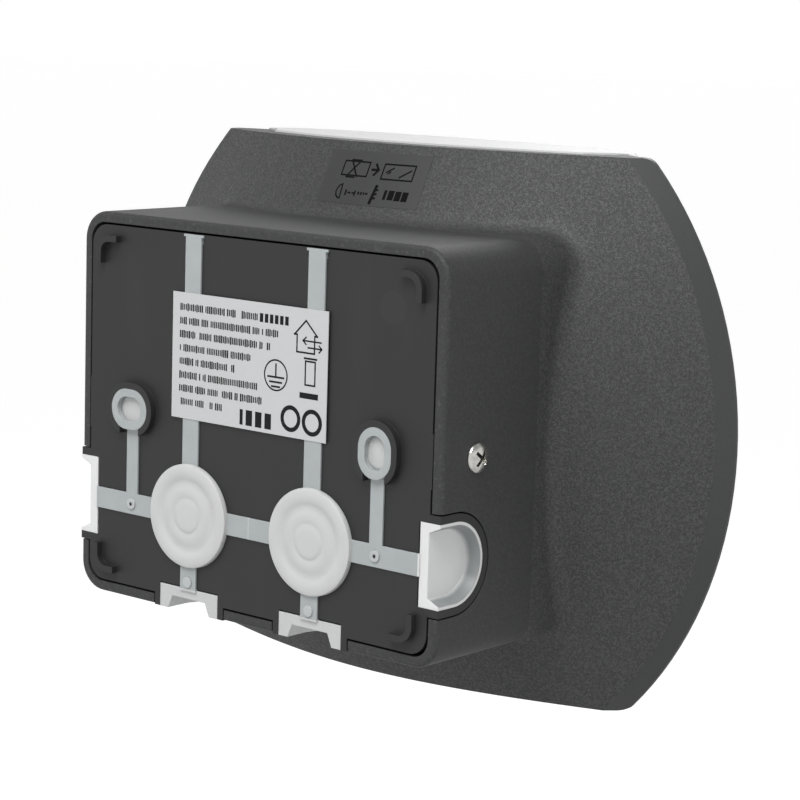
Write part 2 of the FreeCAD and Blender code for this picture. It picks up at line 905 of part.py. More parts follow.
def diffuserNode():
    base = of.lipFrontDeep + of.sealThick
    seatEnd = of.ringBore
    flatEnd = seatEnd - of.boxRound / 2
    offset = of.flatDeep + of.sealThick
    dome = domeOutline(0, asSize(0))
    outer = lathe("diffuserDome", "Y", [
        (0, coneDeep(0, offset)),
        (flatEnd, coneDeep(flatEnd, offset)),
        (seatEnd, base),
    ] + dome)
    half = halfHigh + of.diffuserProud
    keep = block("diffuserFlats", (-everywhere, everywhere), (deep(everywhere), 0), (-half, half))
    shell = common("diffuserOuter", outer, keep)
    bore = of.ringBore - of.spigotGap
    spigot = lathe("diffuserSpigotRing", "Y", [
        (bore - of.spigotWall - 1, base - of.spigotDeep),
        (bore, base - of.spigotDeep),
        (bore, base + 1),
        (bore - of.spigotWall - 1, base + 1),
    ])
    spigotHalf = innerHalf - of.spigotGap
    spigotKeep = block("diffuserSpigotFlats", (-everywhere, everywhere), (deep(everywhere), 0),
                       (-spigotHalf, spigotHalf))
    spigotCut = common("diffuserSpigot", spigot, spigotKeep)
    solid = fuse("diffuserSolid", shell, spigotCut)
    inner = domeOutline(of.diffuserWall, of.diffuserWall)
    innerEdge = bore - of.spigotWall
    hollowTurn = lathe("diffuserHollowTurn", "Y",
                       [(0, 0), (innerEdge, 0), (innerEdge, base + of.diffuserWall)] + inner)
    innerKeep = block("diffuserInnerFlats", (-everywhere, everywhere), (deep(everywhere), 0),
                      (of.diffuserWall - half, half - of.diffuserWall))
    hollow = common("diffuserHollow", hollowTurn, innerKeep)
    podHalf = of.podHalf + of.podGap
    mouth = sheetOf("diffuserMouth", [arch(podHalf, -of.podDown, podLow - 10)],
                    (trayFront - of.podGap, everywhere))
    cupped = cut("diffuserCupped", solid, hollow, mouth)
    pieces = [cupped]
    for side in (-1, 1):
        for up in (-1, 1):
            front = hookDeep() + of.hookFootDeep
            arm = slab("hookArm", around(side * of.hookOut, of.hookWide),
                       (hookDeep() - of.hookReach, front),
                       span(up, innerHalf - of.hookGap - of.hookThick, innerHalf - of.hookGap))
            foot = slab("hookFoot", around(side * of.hookOut, of.hookWide), (hookDeep(), front),
                        span(up, innerHalf - 1, half - of.diffuserWall / 2))
            barb = slab("hookBarb", around(side * of.hookOut, of.hookWide), hookBarbSpan(0),
                        span(up, innerHalf - 1, innerHalf + of.hookBarb))
            pieces.append(fuse("snapHook", arm, foot, barb))
    node("diffuser", fuse("diffuserDone", *pieces))


def diffuserSealNode():
    base = of.lipFrontDeep
    wallStep = of.ringBore + of.ringLedge
    flatEnd = wallStep - of.boxRound / 2
    outerEdge = of.diffuserRound - of.sealIn * 2
    frontStep = of.ringBore
    frontEnd = frontStep - of.boxRound / 2
    offset = of.flatDeep + of.sealThick - of.seatGap
    band = lathe("sealBand", "Y", [
        (panRoot, coneDeep(panRoot, of.flatDeep)),
        (flatEnd, coneDeep(flatEnd, of.flatDeep)),
        (wallStep, base),
        (outerEdge, base),
        (outerEdge, base + of.sealThick - of.seatGap),
        (frontStep, base + of.sealThick - of.seatGap),
        (frontEnd, coneDeep(frontEnd, offset)),
        (panRoot, coneDeep(panRoot, offset)),
    ])
    half = halfHigh - of.sealIn * 2
    keep = block("sealFlats", (-everywhere, everywhere), (deep(everywhere), 0), (-half, half))
    bore = of.ringBore + of.sealIn
    core = forwardRod("sealCore", 0, 0, bore, (0, everywhere))
    coreHalf = innerHalf + of.sealIn * 3
    coreKeep = block("sealCoreFlats", (-everywhere, everywhere), (deep(everywhere), 0), (-coreHalf, coreHalf))
    outerBand = common("sealOuter", band, keep)
    node("diffuser_seal", cut("sealDone", outerBand, common("sealInner", core, coreKeep)))


def cupPieces(name, plane, side, outFace, centre, leg):
    # soft cup in a cable entry, closed by a floor and open to the wall
    outline = entryUpright if plane == "YZ_Plane" else entryAcross
    straight = of.entryStraight
    thick = of.tongueThick + 0.6
    start = outFace - thick if side > 0 else -outFace
    outer = prism(name + "Block", plane, [outline(of.cupHalf, straight, deep(0), centre)], start, thick)
    mouth = of.cupHalf - leg
    floorAt = outFace - thick + of.cupFloor
    mouthAt = outFace + 0.5
    if side < 0:
        floorAt, mouthAt = -floorAt, -mouthAt
    recess = taper(name + "Recess", plane,
                   outline(mouth, straight, deep(-1), centre), mouthAt,
                   outline(mouth - of.cupTaper, straight, deep(-1), centre), floorAt)
    innerStart = outFace - thick - 1 if side > 0 else -(outFace - thick) - of.cupFloor / 2
    inner = prism(name + "Back", plane, [outline(mouth - of.cupTaper, straight, deep(of.plateThick), centre)],
                  innerStart, of.cupFloor / 2 + 1)
    return cut(name, outer, recess, inner)


def plugSizes():
    return ((1, of.leftPlugWide, of.leftPlugHigh), (-1, of.rightPlugWide, of.rightPlugHigh))


def sealPieces():
    pieces = []
    for side, plugWide, plugHigh in plugSizes():
        x = side * of.grommetOut
        proud = -of.grommetProud
        pieces.append(lathe("grommet", "Y", [
            (0, proud - of.membraneStep),
            (of.nippleRound - of.membraneStep, proud - of.membraneStep),
            (of.nippleRound, proud),
            (of.membraneRound - of.membraneStep * 2, proud),
            (of.membraneRound - of.membraneStep, proud + of.membraneStep),
            (of.membraneRound, proud),
            (of.grommetRound - of.membraneStep, proud),
            (of.grommetRound, proud + of.membraneStep),
            (of.grommetRound, of.runnerSunk),
            (of.grommetHole, of.runnerSunk),
            (of.grommetHole, of.plateThick),
            (of.grommetLip, of.plateThick),
            (of.grommetLip, of.plateThick + of.grommetLipThick),
            (of.membraneRound, of.plateThick + of.grommetLipThick),
            (of.membraneRound, 0),
            (0, 0),
        ], (x, 0, -of.grommetDown)))
        depths = (-of.runnerProud, of.runnerSunk)
        top = plateHigh / 2 - of.runnerTopIn
        low = of.tongueThick - of.boxHigh / 2
        pieces.append(slab("tallRunner", around(x, of.runnerWide), depths, (low, top)))
        pieces.append(slab("runnerFlare", around(x, of.runnerWide + of.flareWide), depths,
                           (top - of.flareHigh, top)))
        plugX = side * of.plugOut
        pieces.append(slab("thinRunner", around(plugX, of.thinRunnerWide), depths, (-of.grommetDown, 0)))
        halfU = plugWide / 2
        halfV = plugHigh / 2
        plug = sheetOf("plugBlock", [stadium(halfU, halfV, plugX)], (-of.standOff, of.plateThick))
        recess = sheetOf("plugRecess", [stadium(halfU - of.plugRim, halfV - of.plugRim, plugX)],
                         (-of.standOff - 1, of.plugRecess - of.standOff))
        pieces.append(cut("plug", plug, recess))
        for gateX, gateZ in ((plugX, -of.grommetDown), (x, -of.boxHigh / 2 + of.tongueThick + 2.6)):
            pieces.append(forwardRod("gate", gateX, gateZ, of.gateRound, (-of.runnerProud - 0.4, 0)))
        pieces.append(cupPieces("sideCup", "YZ_Plane", side, of.boxWide / 2, -of.sideEntryDown, of.cupLeg))
        pieces.append(cupPieces("bottomCup", "XY_Plane", -1, of.boxHigh / 2, side * of.bottomEntryOut,
                                of.bottomCupLeg))
    reach = of.boxWide / 2 - of.tongueThick - 0.4
    pieces.append(slab("longRunner", (-reach, reach), (-of.runnerProud, of.runnerSunk),
                       around(-of.grommetDown, of.runnerWide)))
    return pieces


def wallPlateNodes():
    seal = fuse("cableSealDone", *sealPieces())
    plate = sheetOf("plateSheet", [softRect(plateWide / 2, plateHigh / 2, of.plateRound)], (0, of.plateThick))
    pieces = [plate]
    wide = plateWide / 2 - of.ribInAcross
    high = plateHigh / 2 - of.ribInUp
    rear = (-of.standOff, 0)
    ribLoops = [softRect(wide, high, of.ribRound),
                softRect(wide - of.ribWide, high - of.ribWide, of.ribRound - of.ribWide)]
    corners = []
    for side in (-1, 1):
        for up in (-1, 1):
            corners.append(slab("ribCorner", span(side, wide - of.ribArm, wide + 1), (-of.standOff - 1, 1),
                                span(up, high - of.ribArm, high + 1)))
        # lug that takes the side screw, with its web to the plate
        lugOut = of.boxWide / 2 - of.boxWall - of.lugGap
        pieces.append(slab("lug", span(side, lugOut - of.lugThick, lugOut), (0, of.lugDeep),
                           around(0, of.lugWide)))
        for up in (-1, 1):
            pieces.append(slab("lugWeb", span(side, lugOut - of.lugThick * 3, lugOut), (0, of.lugDeep / 2),
                               span(up, of.lugWide / 2 - of.ribWide, of.lugWide / 2)))
        outer = of.entryHalf - of.tongueGap
        start = of.boxWide / 2 - of.tongueThick if side > 0 else -of.boxWide / 2
        pieces.append(prism("sideTongue", "YZ_Plane",
                            [entryUpright(outer, of.entryStraight, deep(0), -of.sideEntryDown)],
                            start, of.tongueThick))
        pieces.append(prism("bottomTongue", "XY_Plane",
                            [entryAcross(outer, of.entryStraight, deep(0), side * of.bottomEntryOut)],
                            -of.boxHigh / 2, of.tongueThick))
    pieces.append(common("ribs", sheetOf("ribRing", ribLoops, rear), fuse("ribCorners", *corners)))
    collars = []
    for side, plugWide, plugHigh in plugSizes():
        x = side * of.plugOut
        outer = stadium(plugWide / 2 + of.collarWide, plugHigh / 2 + of.collarWide, x)
        inner = stadium(plugWide / 2, plugHigh / 2, x)
        collar = sheetOf("collarRing", [outer, inner], rear)
        gap = slab("collarMouth", around(x, of.thinRunnerWide + 3), (-of.standOff - 1, 0),
                   (-plugHigh - of.collarWide, -plugHigh / 4))
        collars.append(cut("collar", collar, gap))
    solid = fuse("plateSolid", *(pieces + collars))
    reach = of.boxWide / 2
    holeRound = of.sideScrewShank + of.shankGap
    hole = rod("plateScrewHole", "X", (-reach, deep(of.sideScrewDeep), 0), holeRound, reach * 2)
    cups = []
    for side in (-1, 1):
        inward = of.boxWide / 2 - of.tongueThick - 1
        start = inward if side > 0 else -of.boxWide / 2 - 1
        cups.append(prism("sideCupHole", "YZ_Plane",
                          [entryUpright(of.cupHalf, of.entryStraight, deep(-1), -of.sideEntryDown)],
                          start, of.tongueThick + 2))
        cups.append(prism("bottomCupHole", "XY_Plane",
                          [entryAcross(of.cupHalf, of.entryStraight, deep(-1), side * of.bottomEntryOut)],
                          -of.boxHigh / 2 - 1, of.tongueThick + 2))
        cups.append(forwardRod("grommetCore", side * of.grommetOut, -of.grommetDown, of.grommetHole,
                               (-1, of.plateThick + 1)))
    drilled = cut("plateDrilled", solid, hole, *cups)
    node("wall_plate", cut("plateDone", drilled, seal))
    node("cable_seal", seal)


def sideScrewNode():
    screws = []
    for side in (-1, 1):
        seat = (side * of.boxWide / 2, deep(of.sideScrewDeep), 0)
        screws.append(screw("sideScrew", "X", side, seat, of.sideScrewHead, of.sideScrewHeadHigh,
                            of.sideScrewShank, of.sideScrewLong))
    node("side_screws", group("sideScrews", screws))


def labelNodes():
    back = -of.runnerProud
    node("rating_label", slab("ratingLabel", around(of.labelAcross, of.labelWide), (back - of.labelThick, back),
                              (of.labelBottom, of.labelBottom + of.labelHigh)))
    film = lathe("filmTurn", "Y", [
        (panRoot, coneDeep(panRoot, -of.filmThick)),
        (of.panEdgeRound, coneDeep(of.panEdgeRound, -of.filmThick)),
        (of.panEdgeRound, of.panEdgeDeep),
        (panRoot, of.panRootDeep),
    ])
    window = slab("filmWindow", around(of.filmAcross, of.filmWide), (0, everywhere),
                  (of.boxHigh / 2 + of.filmBottomUp, halfHigh - of.filmTopIn))
    node("film_label", common("filmDone", film, window))


def poles():
    return (-of.poleStep, asSize(0), of.poleStep)


def terminalNodes():
    high = (terminalBottom, terminalBottom + of.terminalHigh)
    depths = (of.plateThick, of.plateThick + of.terminalDeep)
    body = slab("terminalBody", around(0, of.terminalWide), depths, high)
    tools = []
    clamps = []
    screws = []
    top = of.plateThick + of.terminalDeep
    clampTop = of.clampDeep + of.clampSide / 2
    for x in poles():
        tools.append(slab("poleChannel", around(x, of.clampSide), around(of.clampDeep, of.clampSide),
                          (high[0] - 1, high[1] + 1)))
        clampZ = (high[0] + of.clampInset, high[1] - of.clampInset)
        clamp = slab("clampBlock", around(x, of.clampSide), around(of.clampDeep, of.clampSide), clampZ)
        bore = rod("clampBore", "Z", (x, deep(of.clampDeep), high[0]), of.clampBore, of.terminalHigh)
        threads = []
        for up in (-1, 1):
            z = (high[0] + high[1]) / 2 + up * of.terminalHigh / 5
            well = of.clampScrewHead + of.holeGap
            tools.append(forwardRod("screwWell", x, z, well, (clampTop - 1, top + 1)))
            threads.append(forwardRod("clampThread", x, z, of.clampScrewShank + of.shankGap,
                                      (of.clampDeep, clampTop + 1)))
            seat = (x, deep(clampTop + 0.4), z)
            screws.append(screw("clampScrew", "Y", -1, seat, of.clampScrewHead, of.clampScrewHeadHigh,
                                of.clampScrewShank, of.clampSide / 2))
        clamps.append(cut("clamp", clamp, bore, *threads))
    node("terminal_block", cut("terminalDone", body, *tools))
    node("terminal_clamps", group("terminalClamps", clamps))
    node("terminal_screws", group("terminalScrews", screws))


def glandNode():
    body = lathe("glandTurn", "Y", [
        (0, of.roomDeep - of.glandLip),
        (of.glandRound, of.roomDeep - of.glandLip),
        (of.glandRound, of.roomDeep),
        (of.glandHole, of.roomDeep),
        (of.glandHole, floorFront),
        (of.glandRound, floorFront),
        (of.glandRound, floorFront + of.glandLip),
        (0, floorFront + of.glandLip),
    ], (0, 0, glandUp))
    holes = []
    for side in (-1, 0, 1):
        holes.append(forwardRod("glandBore", side * of.glandStep, glandUp, of.leadRadius,
                                (of.roomDeep - 5, floorFront + 5)))
    node("lead_gland", cut("glandDone", body, *holes))


def leadNodes():
    top = terminalBottom + of.terminalHigh - of.clampInset
    for label, side in (("live_lead", -1), ("earth_lead", 0), ("neutral_lead", 1)):
        outX = side * of.poleStep
        inX = side * of.glandStep
        node(label, tube(label + "Tube", [
            (outX, deep(of.clampDeep), top),
            (outX, deep(of.clampDeep), glandUp - 0.5),
            (inX, deep(of.clampDeep + 11), glandUp),
            (inX, deep(of.boardDeep), glandUp),
        ], of.leadRadius))


def onDriver(across, up):
    # place on the driver board as shares of its width, from the middle, and of its height, from below
    return of.driverWide * across, driverBottom + (driverTop - driverBottom) * up


def driverNodes():
    front = of.boardDeep + of.boardThick
    holes = []
    screws = []
    for side in (-1, 1):
        for level in boardLevels():
            x = side * (of.driverWide / 2 - of.boardHoleInset)
            holes.append((x, level, of.smallShank + of.holeGap))
            screws.append(screw("driverScrew", "Y", -1, (x, deep(front), level), of.smallHead, of.smallHeadHigh,
                                of.smallShank, of.smallLong))
    middle = (driverBottom + driverTop) / 2
    rim = softRect(of.driverWide / 2, (driverTop - driverBottom) / 2, asSize(2), 0, middle)
    node("driver_board", sheetOf("driverBoard", [rim] + holes, (of.boardDeep, front)))
    node("driver_board_screws", group("driverScrews", screws))
    transformerNode(front, *onDriver(0.18, 0.39))
    x, z = onDriver(-0.08, 0.2)
    groove = of.capacitorRound - 0.6
    node("bulk_capacitor", lathe("bulkCapacitor", "Y", [
        (0, front),
        (of.capacitorRound, front),
        (of.capacitorRound, front + 2),
        (groove, front + 2.6),
        (of.capacitorRound, front + 3.2),
        (of.capacitorRound, front + of.capacitorTall - 0.8),
        (of.capacitorRound - 0.8, front + of.capacitorTall),
        (0, front + of.capacitorTall),
    ], (x, 0, z)))
    x, z = onDriver(-0.255, 0.71)
    node("filter_choke", lathe("filterChoke", "Y", [
        (0, front),
        (of.chokeRound, front),
        (of.chokeRound, front + 1.6),
        (of.chokeRound - 1.4, front + 2.2),
        (of.chokeRound - 1.4, front + of.chokeTall - 2.2),
        (of.chokeRound, front + of.chokeTall - 1.6),
        (of.chokeRound, front + of.chokeTall),
        (0, front + of.chokeTall),
    ], (x, 0, z)))
    half = of.fuseLong / 2
    cap = of.fuseRound + 0.3
    capLong = of.fuseLong / 4
    x, z = onDriver(-0.4, 0.48)
    node("fuse", lathe("fuseTube", "Z", [
        (0, -half),
        (cap, -half),
        (cap, capLong - half),
        (of.fuseRound, capLong - half),
        (of.fuseRound, half - capLong),
        (cap, half - capLong),
        (cap, half),
        (0, half),
    ], (x, deep(front + cap), z)))
    x, z = onDriver(-0.42, 0.81)
    node("varistor", rod("varistorDisc", "X", (x, deep(front + of.varistorRound), z), of.varistorRound,
                         of.varistorThick))
    x, z = onDriver(-0.235, 0.43)
    node("bridge_rectifier", slab("bridgeBlock", around(x, of.bridgeWide), (front, front + of.bridgeTall),
                                  around(z, of.bridgeThick)))
    x, z = onDriver(0, 0.64)
    node("driver_chip", slab("driverChip", around(x, of.chipHigh), (front, front + of.chipThick),
                             around(z, of.chipWide)))
    x, z = onDriver(0.28, 0.76)
    node("relay", slab("relayBlock", around(x, of.relayWide), (front, front + of.relayTall),
                       around(z, of.relayHigh)))


def transformerNode(front, x, z):
    # ferrite core round a wound bobbin
    bobbin = slab("bobbinBase", around(x, of.transformerWide), (front, front + of.bobbinThick),
                  around(z, of.transformerHigh))
    core = slab("transformerCore", around(x, of.transformerWide), (front + 4, front + of.transformerDeep),
                around(z, of.transformerHigh / 3))
    low = front + of.bobbinThick / 2
    winding = slab("winding", around(x, of.transformerWide * 0.64), (low, low + of.transformerDeep - of.bobbinThick),
                   around(z, of.transformerHigh - 1))
    node("transformer", fuse("transformerDone", bobbin, core, winding))


def ledScrewSpots():
    inset = of.boardHoleInset
    for side in (-1, 1):
        for level in (of.ledBoardBottom + inset, of.ledBoardTop - inset):
            yield side * (of.ledBoardWide / 2 - of.ledScrewIn), level


def wireWindowX():
    return of.ledBoardWide / 2 + of.wireWindow


def trayNodes():
    rim = cutDisc(of.trayRound, of.trayHigh, of.trayCorner)
    inner = cutDisc(of.trayRound - of.trayThick, of.trayHigh - of.trayThick * 2, of.trayCorner - of.trayThick)
    # window behind the sensor board for its lead
    window = plainRect(around(0, of.leadWindowWide),
                       (-of.podDown - of.leadWindowDown, of.leadWindowUp - of.podDown))
    floorLoops = [rim, window]
    shank = of.smallShank + of.shankGap
    for up in (-1, 1):
        floorLoops += [(side * of.trayBossOut, up * of.trayBossUp, shank + of.holeGap) for side in (-1, 1)]
    floorLoops += [(x, z, shank) for x, z in ledScrewSpots()]
    floorLoops += [(side * of.podScrewOut, -of.podScrewDown, shank) for side in (-1, 1)]
    floorLoops.append((wireWindowX(), wireLevels()[2], of.wireWindow))
    floor = sheetOf("trayFloor", floorLoops, (of.trayDeep, trayFront))
    wall = sheetOf("trayWall", [rim, inner], (of.trayDeep, trayFront + of.trayRim))
    # the pod stands in a gap of the wall
    notch = slab("trayNotch", around(0, (of.podHalf + of.podGap) * 2),
                 (trayFront, trayFront + of.trayRim + 1),
                 (-halfHigh, of.trayThick + of.podGap - of.trayHigh / 2))
    node("reflector_tray", fuse("trayDone", floor, cut("trayWallCut", wall, notch)))
    screws = []
    for side in (-1, 1):
        for up in (-1, 1):
            seat = (side * of.trayBossOut, deep(trayFront), up * of.trayBossUp)
            screws.append(screw("trayScrew", "Y", -1, seat, of.smallHead, of.smallHeadHigh, of.smallShank,
                                of.smallLong))
    node("tray_screws", group("trayScrews", screws))


def wireLevels():
    low = (of.ledBoardBottom + of.ledBoardTop) / 2 - 8
    return (low - 2, low + 2, low)


def ledNodes():
    front = trayFront + of.boardThick
    middle = (of.ledBoardBottom + of.ledBoardTop) / 2
    high = (of.ledBoardTop - of.ledBoardBottom) / 2
    loops = [softRect(of.ledBoardWide / 2, high, of.ledBoardRound, 0, middle)]
    loops += [(x, z, of.smallShank + of.holeGap) for x, z in ledScrewSpots()]
    node("led_board", sheetOf("ledBoard", loops, (trayFront, front)))
    screws = []
    for x, z in ledScrewSpots():
        screws.append(screw("ledScrew", "Y", -1, (x, deep(front), z), of.smallHead, of.smallHeadHigh,
                            of.smallShank, of.smallLong - 1))
    node("led_board_screws", group("ledScrews", screws))
    chips = []
    stepAcross = (of.ledBoardWide - of.ledMargin * 2) / 7
    for column in range(8):
        for line in range(5):
            x = (column - 3.5) * stepAcross
            z = middle + (line - 2) * of.ledStepUp
            chips.append(slab("led", around(x, of.ledWide), (front, front + of.ledThick),
                              around(z, of.ledHigh)))
    node("leds", group("ledGroup", chips))
    for label, level in (("led_lead_plus", wireLevels()[0]), ("led_lead_minus", wireLevels()[1])):
        board = of.boardDeep + of.boardThick
        startX = of.driverWide / 2 - of.boardHoleInset
        over = front + 4.5
        endX = of.ledBoardWide / 2 - of.wireWindow / 2
        node(label, tube(label + "Tube", [
            (startX, deep(board), level),
            (startX, deep(board + 11), level),
            (wireWindowX(), deep(of.trayDeep - 6), level),
            (wireWindowX(), deep(over), level),
            (endX, deep(over), level),
            (endX, deep(front), level),
        ], of.wireRadius))


knobPlaces = (("time", -1), ("dusk", 0), ("range", 1))


def podNodes():
    low = podLow
    outer = sheetOf("podOuter", [arch(of.podHalf, -of.podDown, low)], (trayFront, of.podFront))
    flangeHalf = of.podHalf + of.podFlange
    flangeLow = of.trayThick + of.podGap - of.trayHigh / 2
    flange = sheetOf("podFlange", [arch(flangeHalf, -of.podDown, flangeLow)],
                     (trayFront, trayFront + of.podFlangeThick))
    solid = fuse("podSolid", outer, flange)
    innerArch = arch(of.podHalf - of.podWall, -of.podDown, low + of.podWall)
    hollow = sheetOf("podHollow", [innerArch], (trayFront - 1, of.podFront - of.podWall))
    shell = cut("podShell", solid, hollow)
    boardFront = of.sensorBoardDeep + of.boardThick
    postZ = low + of.podWall + of.postUp
    posts = [forwardRod("podPost", side * of.postOut, postZ, of.postRound, (boardFront, of.podFront - 1))
             for side in (-1, 1)]
    posted = fuse("podPosted", shell, *posts)
    tools = [forwardRod("podLensHole", 0, -of.podDown, of.lensHole,
                        (of.podFront - of.podWall - 1, of.podFront + 1))]
    shank = of.smallShank + of.shankGap
    for side in (-1, 1):
        tools.append(forwardRod("podPostHole", side * of.postOut, postZ, shank,
                                (boardFront - 1, boardFront + of.smallLong)))
        tools.append(forwardRod("podScrewHole", side * of.podScrewOut, -of.podScrewDown,
                                of.smallShank + of.holeGap,
                                (trayFront - 1, trayFront + 3)))
    for label, step in knobPlaces:
        tools.append(rod(label + "KnobHole", "Z", (step * of.knobStep, deep(of.knobDeep), low - 1),
                         of.knobRound + of.holeGap, of.podWall + 2))
    node("sensor_pod", cut("podDone", posted, *tools))
    screws = [screw("podScrew", "Y", -1, (side * of.podScrewOut, deep(trayFront + of.podFlangeThick), -of.podScrewDown),
                    of.smallHead, of.smallHeadHigh, of.smallShank, of.smallLong - 1) for side in (-1, 1)]
    node("pod_screws", group("podScrews", screws))
    lensNodes()
    sensorBoardNodes(boardFront, postZ, low)
    for label, step in knobPlaces:
        knobNodes(label, step * of.knobStep, low)


def lensNodes():
    seat = of.podFront - of.podWall
    back = seat - of.lensFlangeThick
    out = of.lensHole - of.lensGap
    neck = of.podFront + of.lensNeck
    front = neck + of.lensBulge
    bulge = (out * out + of.lensBulge * of.lensBulge) / (2 * of.lensBulge)
    inOut = out - of.lensWall
    inBulge = bulge - of.lensWall
    inRise = inBulge - root(inBulge * inBulge - inOut * inOut)
    inFront = front - of.lensWall
    node("fresnel_lens", lathe("fresnelLens", "Y", [
        (0, inFront),
        (inOut, inFront - inRise, -inBulge),
        (inOut, back),
        (of.lensFlange, back),
        (of.lensFlange, seat),
        (out, seat),
        (out, neck),
        (0, front, bulge),
    ], (0, 0, -of.podDown)))
    node("lens_ring", lathe("lensRing", "Y", [
        (of.lensFlange - of.ringWide, back - of.ringThick),
        (of.lensFlange, back - of.ringThick),
        (of.lensFlange, back),
        (of.lensFlange - of.ringWide, back),
    ], (0, 0, -of.podDown)))


def sensorBoardNodes(boardFront, postZ, low):
    rear = of.sensorBoardDeep
    half = of.podHalf - of.podWall - of.sensorBoardGap
    lowEdge = low + of.podWall + of.knobSealRound * 2 + of.knobFlangeThick + of.holeGap * 2
    loops = [arch(half, -of.podDown, lowEdge)]
    loops += [(side * of.postOut, postZ, of.smallShank + of.holeGap) for side in (-1, 1)]
    node("sensor_board", sheetOf("sensorBoard", loops, (rear, boardFront)))
    screws = [screw("sensorScrew", "Y", 1, (side * of.postOut, deep(rear), postZ), of.smallHead - 0.5,
                    of.smallHeadHigh, of.smallShank, of.smallLong) for side in (-1, 1)]
    node("sensor_board_screws", group("sensorScrews", screws))
    can = boardFront + of.detectorTall
    node("motion_detector", lathe("motionDetector", "Y", [
        (0, boardFront),
        (of.detectorFlange, boardFront),
        (of.detectorFlange, boardFront + 0.5),
        (of.detectorRound, boardFront + 0.5),
        (of.detectorRound, can - 0.4),
        (of.detectorRound - 0.4, can),
        (of.detectorWindow, can),
        (of.detectorWindow, can - 0.2),
        (0, can - 0.2),
    ], (0, 0, -of.podDown)))
    node("light_sensor", forwardRod("lightSensor", of.lightOut, -of.podDown - of.lightOut, of.lightRound,
                                    (boardFront, boardFront + of.lightTall)))
    node("sensor_chip", slab("sensorChip", around(0, of.chipWide), (rear - of.chipThick, rear),
                             around(-of.podDown + 6, of.chipHigh)))
    board = of.boardDeep + of.boardThick
    out = of.sensorLeadOut
    low = -of.podDown - of.sensorLeadDown
    x, z = onDriver(0.2, 0.07)
    node("sensor_lead", tube("sensorLead", [
        (out, deep(rear), low),
        (out, deep(rear - of.sensorLeadDrop), low),
        (out * 2, deep(of.trayDeep - out), of.sensorLeadUp - of.podDown),
        (x, deep(board + of.sensorLeadDrop), z),
        (x, deep(board), z),
    ], of.sensorLeadRound))


def knobNodes(label, x, low):
    # cap through the pod's wall, flange behind the seal, shank into the trimmer
    y = deep(of.knobDeep)
    wallTop = low + of.podWall
    sealTop = wallTop + of.knobSealRound * 2
    flangeLow = sealTop + of.knobRunGap
    flangeTop = flangeLow + of.knobFlangeThick
    potLow = low + of.potUp
    bore = of.knobShank + of.knobRunGap
    turned = lathe(label + "KnobTurn", "Z", [
        (0, low + of.knobSunk),
        (of.knobRound, low + of.knobSunk),
        (of.knobRound, flangeLow),
        (of.knobFlange, flangeLow),
        (of.knobFlange, flangeTop),
        (of.knobShank, flangeTop),
        (of.knobShank, potLow + of.potBore - of.holeGap),
        (0, potLow + of.potBore - of.holeGap),
    ], (x, y, 0))
    slot = block(label + "KnobSlot", around(x, of.knobSlotWide), (y - of.knobRound - 1, y + of.knobRound * 0.7),
                 (low, low + of.knobSunk + of.knobSlotDeep))
    node(label + "_knob", cut(label + "Knob", turned, slot))
    node(label + "_knob_seal", ringOf(label + "KnobSeal", "Z", (x, y, wallTop + of.knobSealRound),
                                      of.knobRound + of.holeGap + of.knobSealRound, of.knobSealRound))
    reach = of.sensorBoardDeep - of.knobDeep
    body = slab(label + "PotBlock", around(x, of.potWide), (of.knobDeep - reach, of.sensorBoardDeep),
                (potLow, potLow + of.potHigh))
    hole = rod(label + "PotBore", "Z", (x, y, potLow - 1), bore, of.potBore + 1)
    node(label + "_trimmer", cut(label + "Pot", body, hole))


housingNode()
diffuserNode()
diffuserSealNode()
wallPlateNodes()
sideScrewNode()
labelNodes()
terminalNodes()
glandNode()
leadNodes()
driverNodes()
trayNodes()
ledNodes()
podNodes()

doc.recompute()
broken = [item.Name for item in doc.Objects if "Invalid" in item.State or "Error" in item.State]
if broken:
    raise SystemExit("failed objects: " + ", ".join(broken))
for piece in nodes:
    if piece.Shape.isNull() or not piece.Shape.isValid() or not piece.Shape.Solids:
        raise SystemExit("bad shape: " + piece.Label)

os.makedirs("parts", exist_ok=True)
for piece in nodes:
    piece.Shape.exportStep("parts/%s.step" % piece.Label)
    box = piece.Shape.BoundBox
    print("%-22s solids %2d volume %9.1f  x %6.1f %6.1f  y %6.1f %6.1f  z %6.1f %6.1f" % (
        piece.Label, len(piece.Shape.Solids), piece.Shape.Volume,
        box.XMin, box.XMax, box.YMin, box.YMax, box.ZMin, box.ZMax))
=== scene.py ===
import json
import math

import bmesh
import bpy
from mathutils import Matrix, Vector

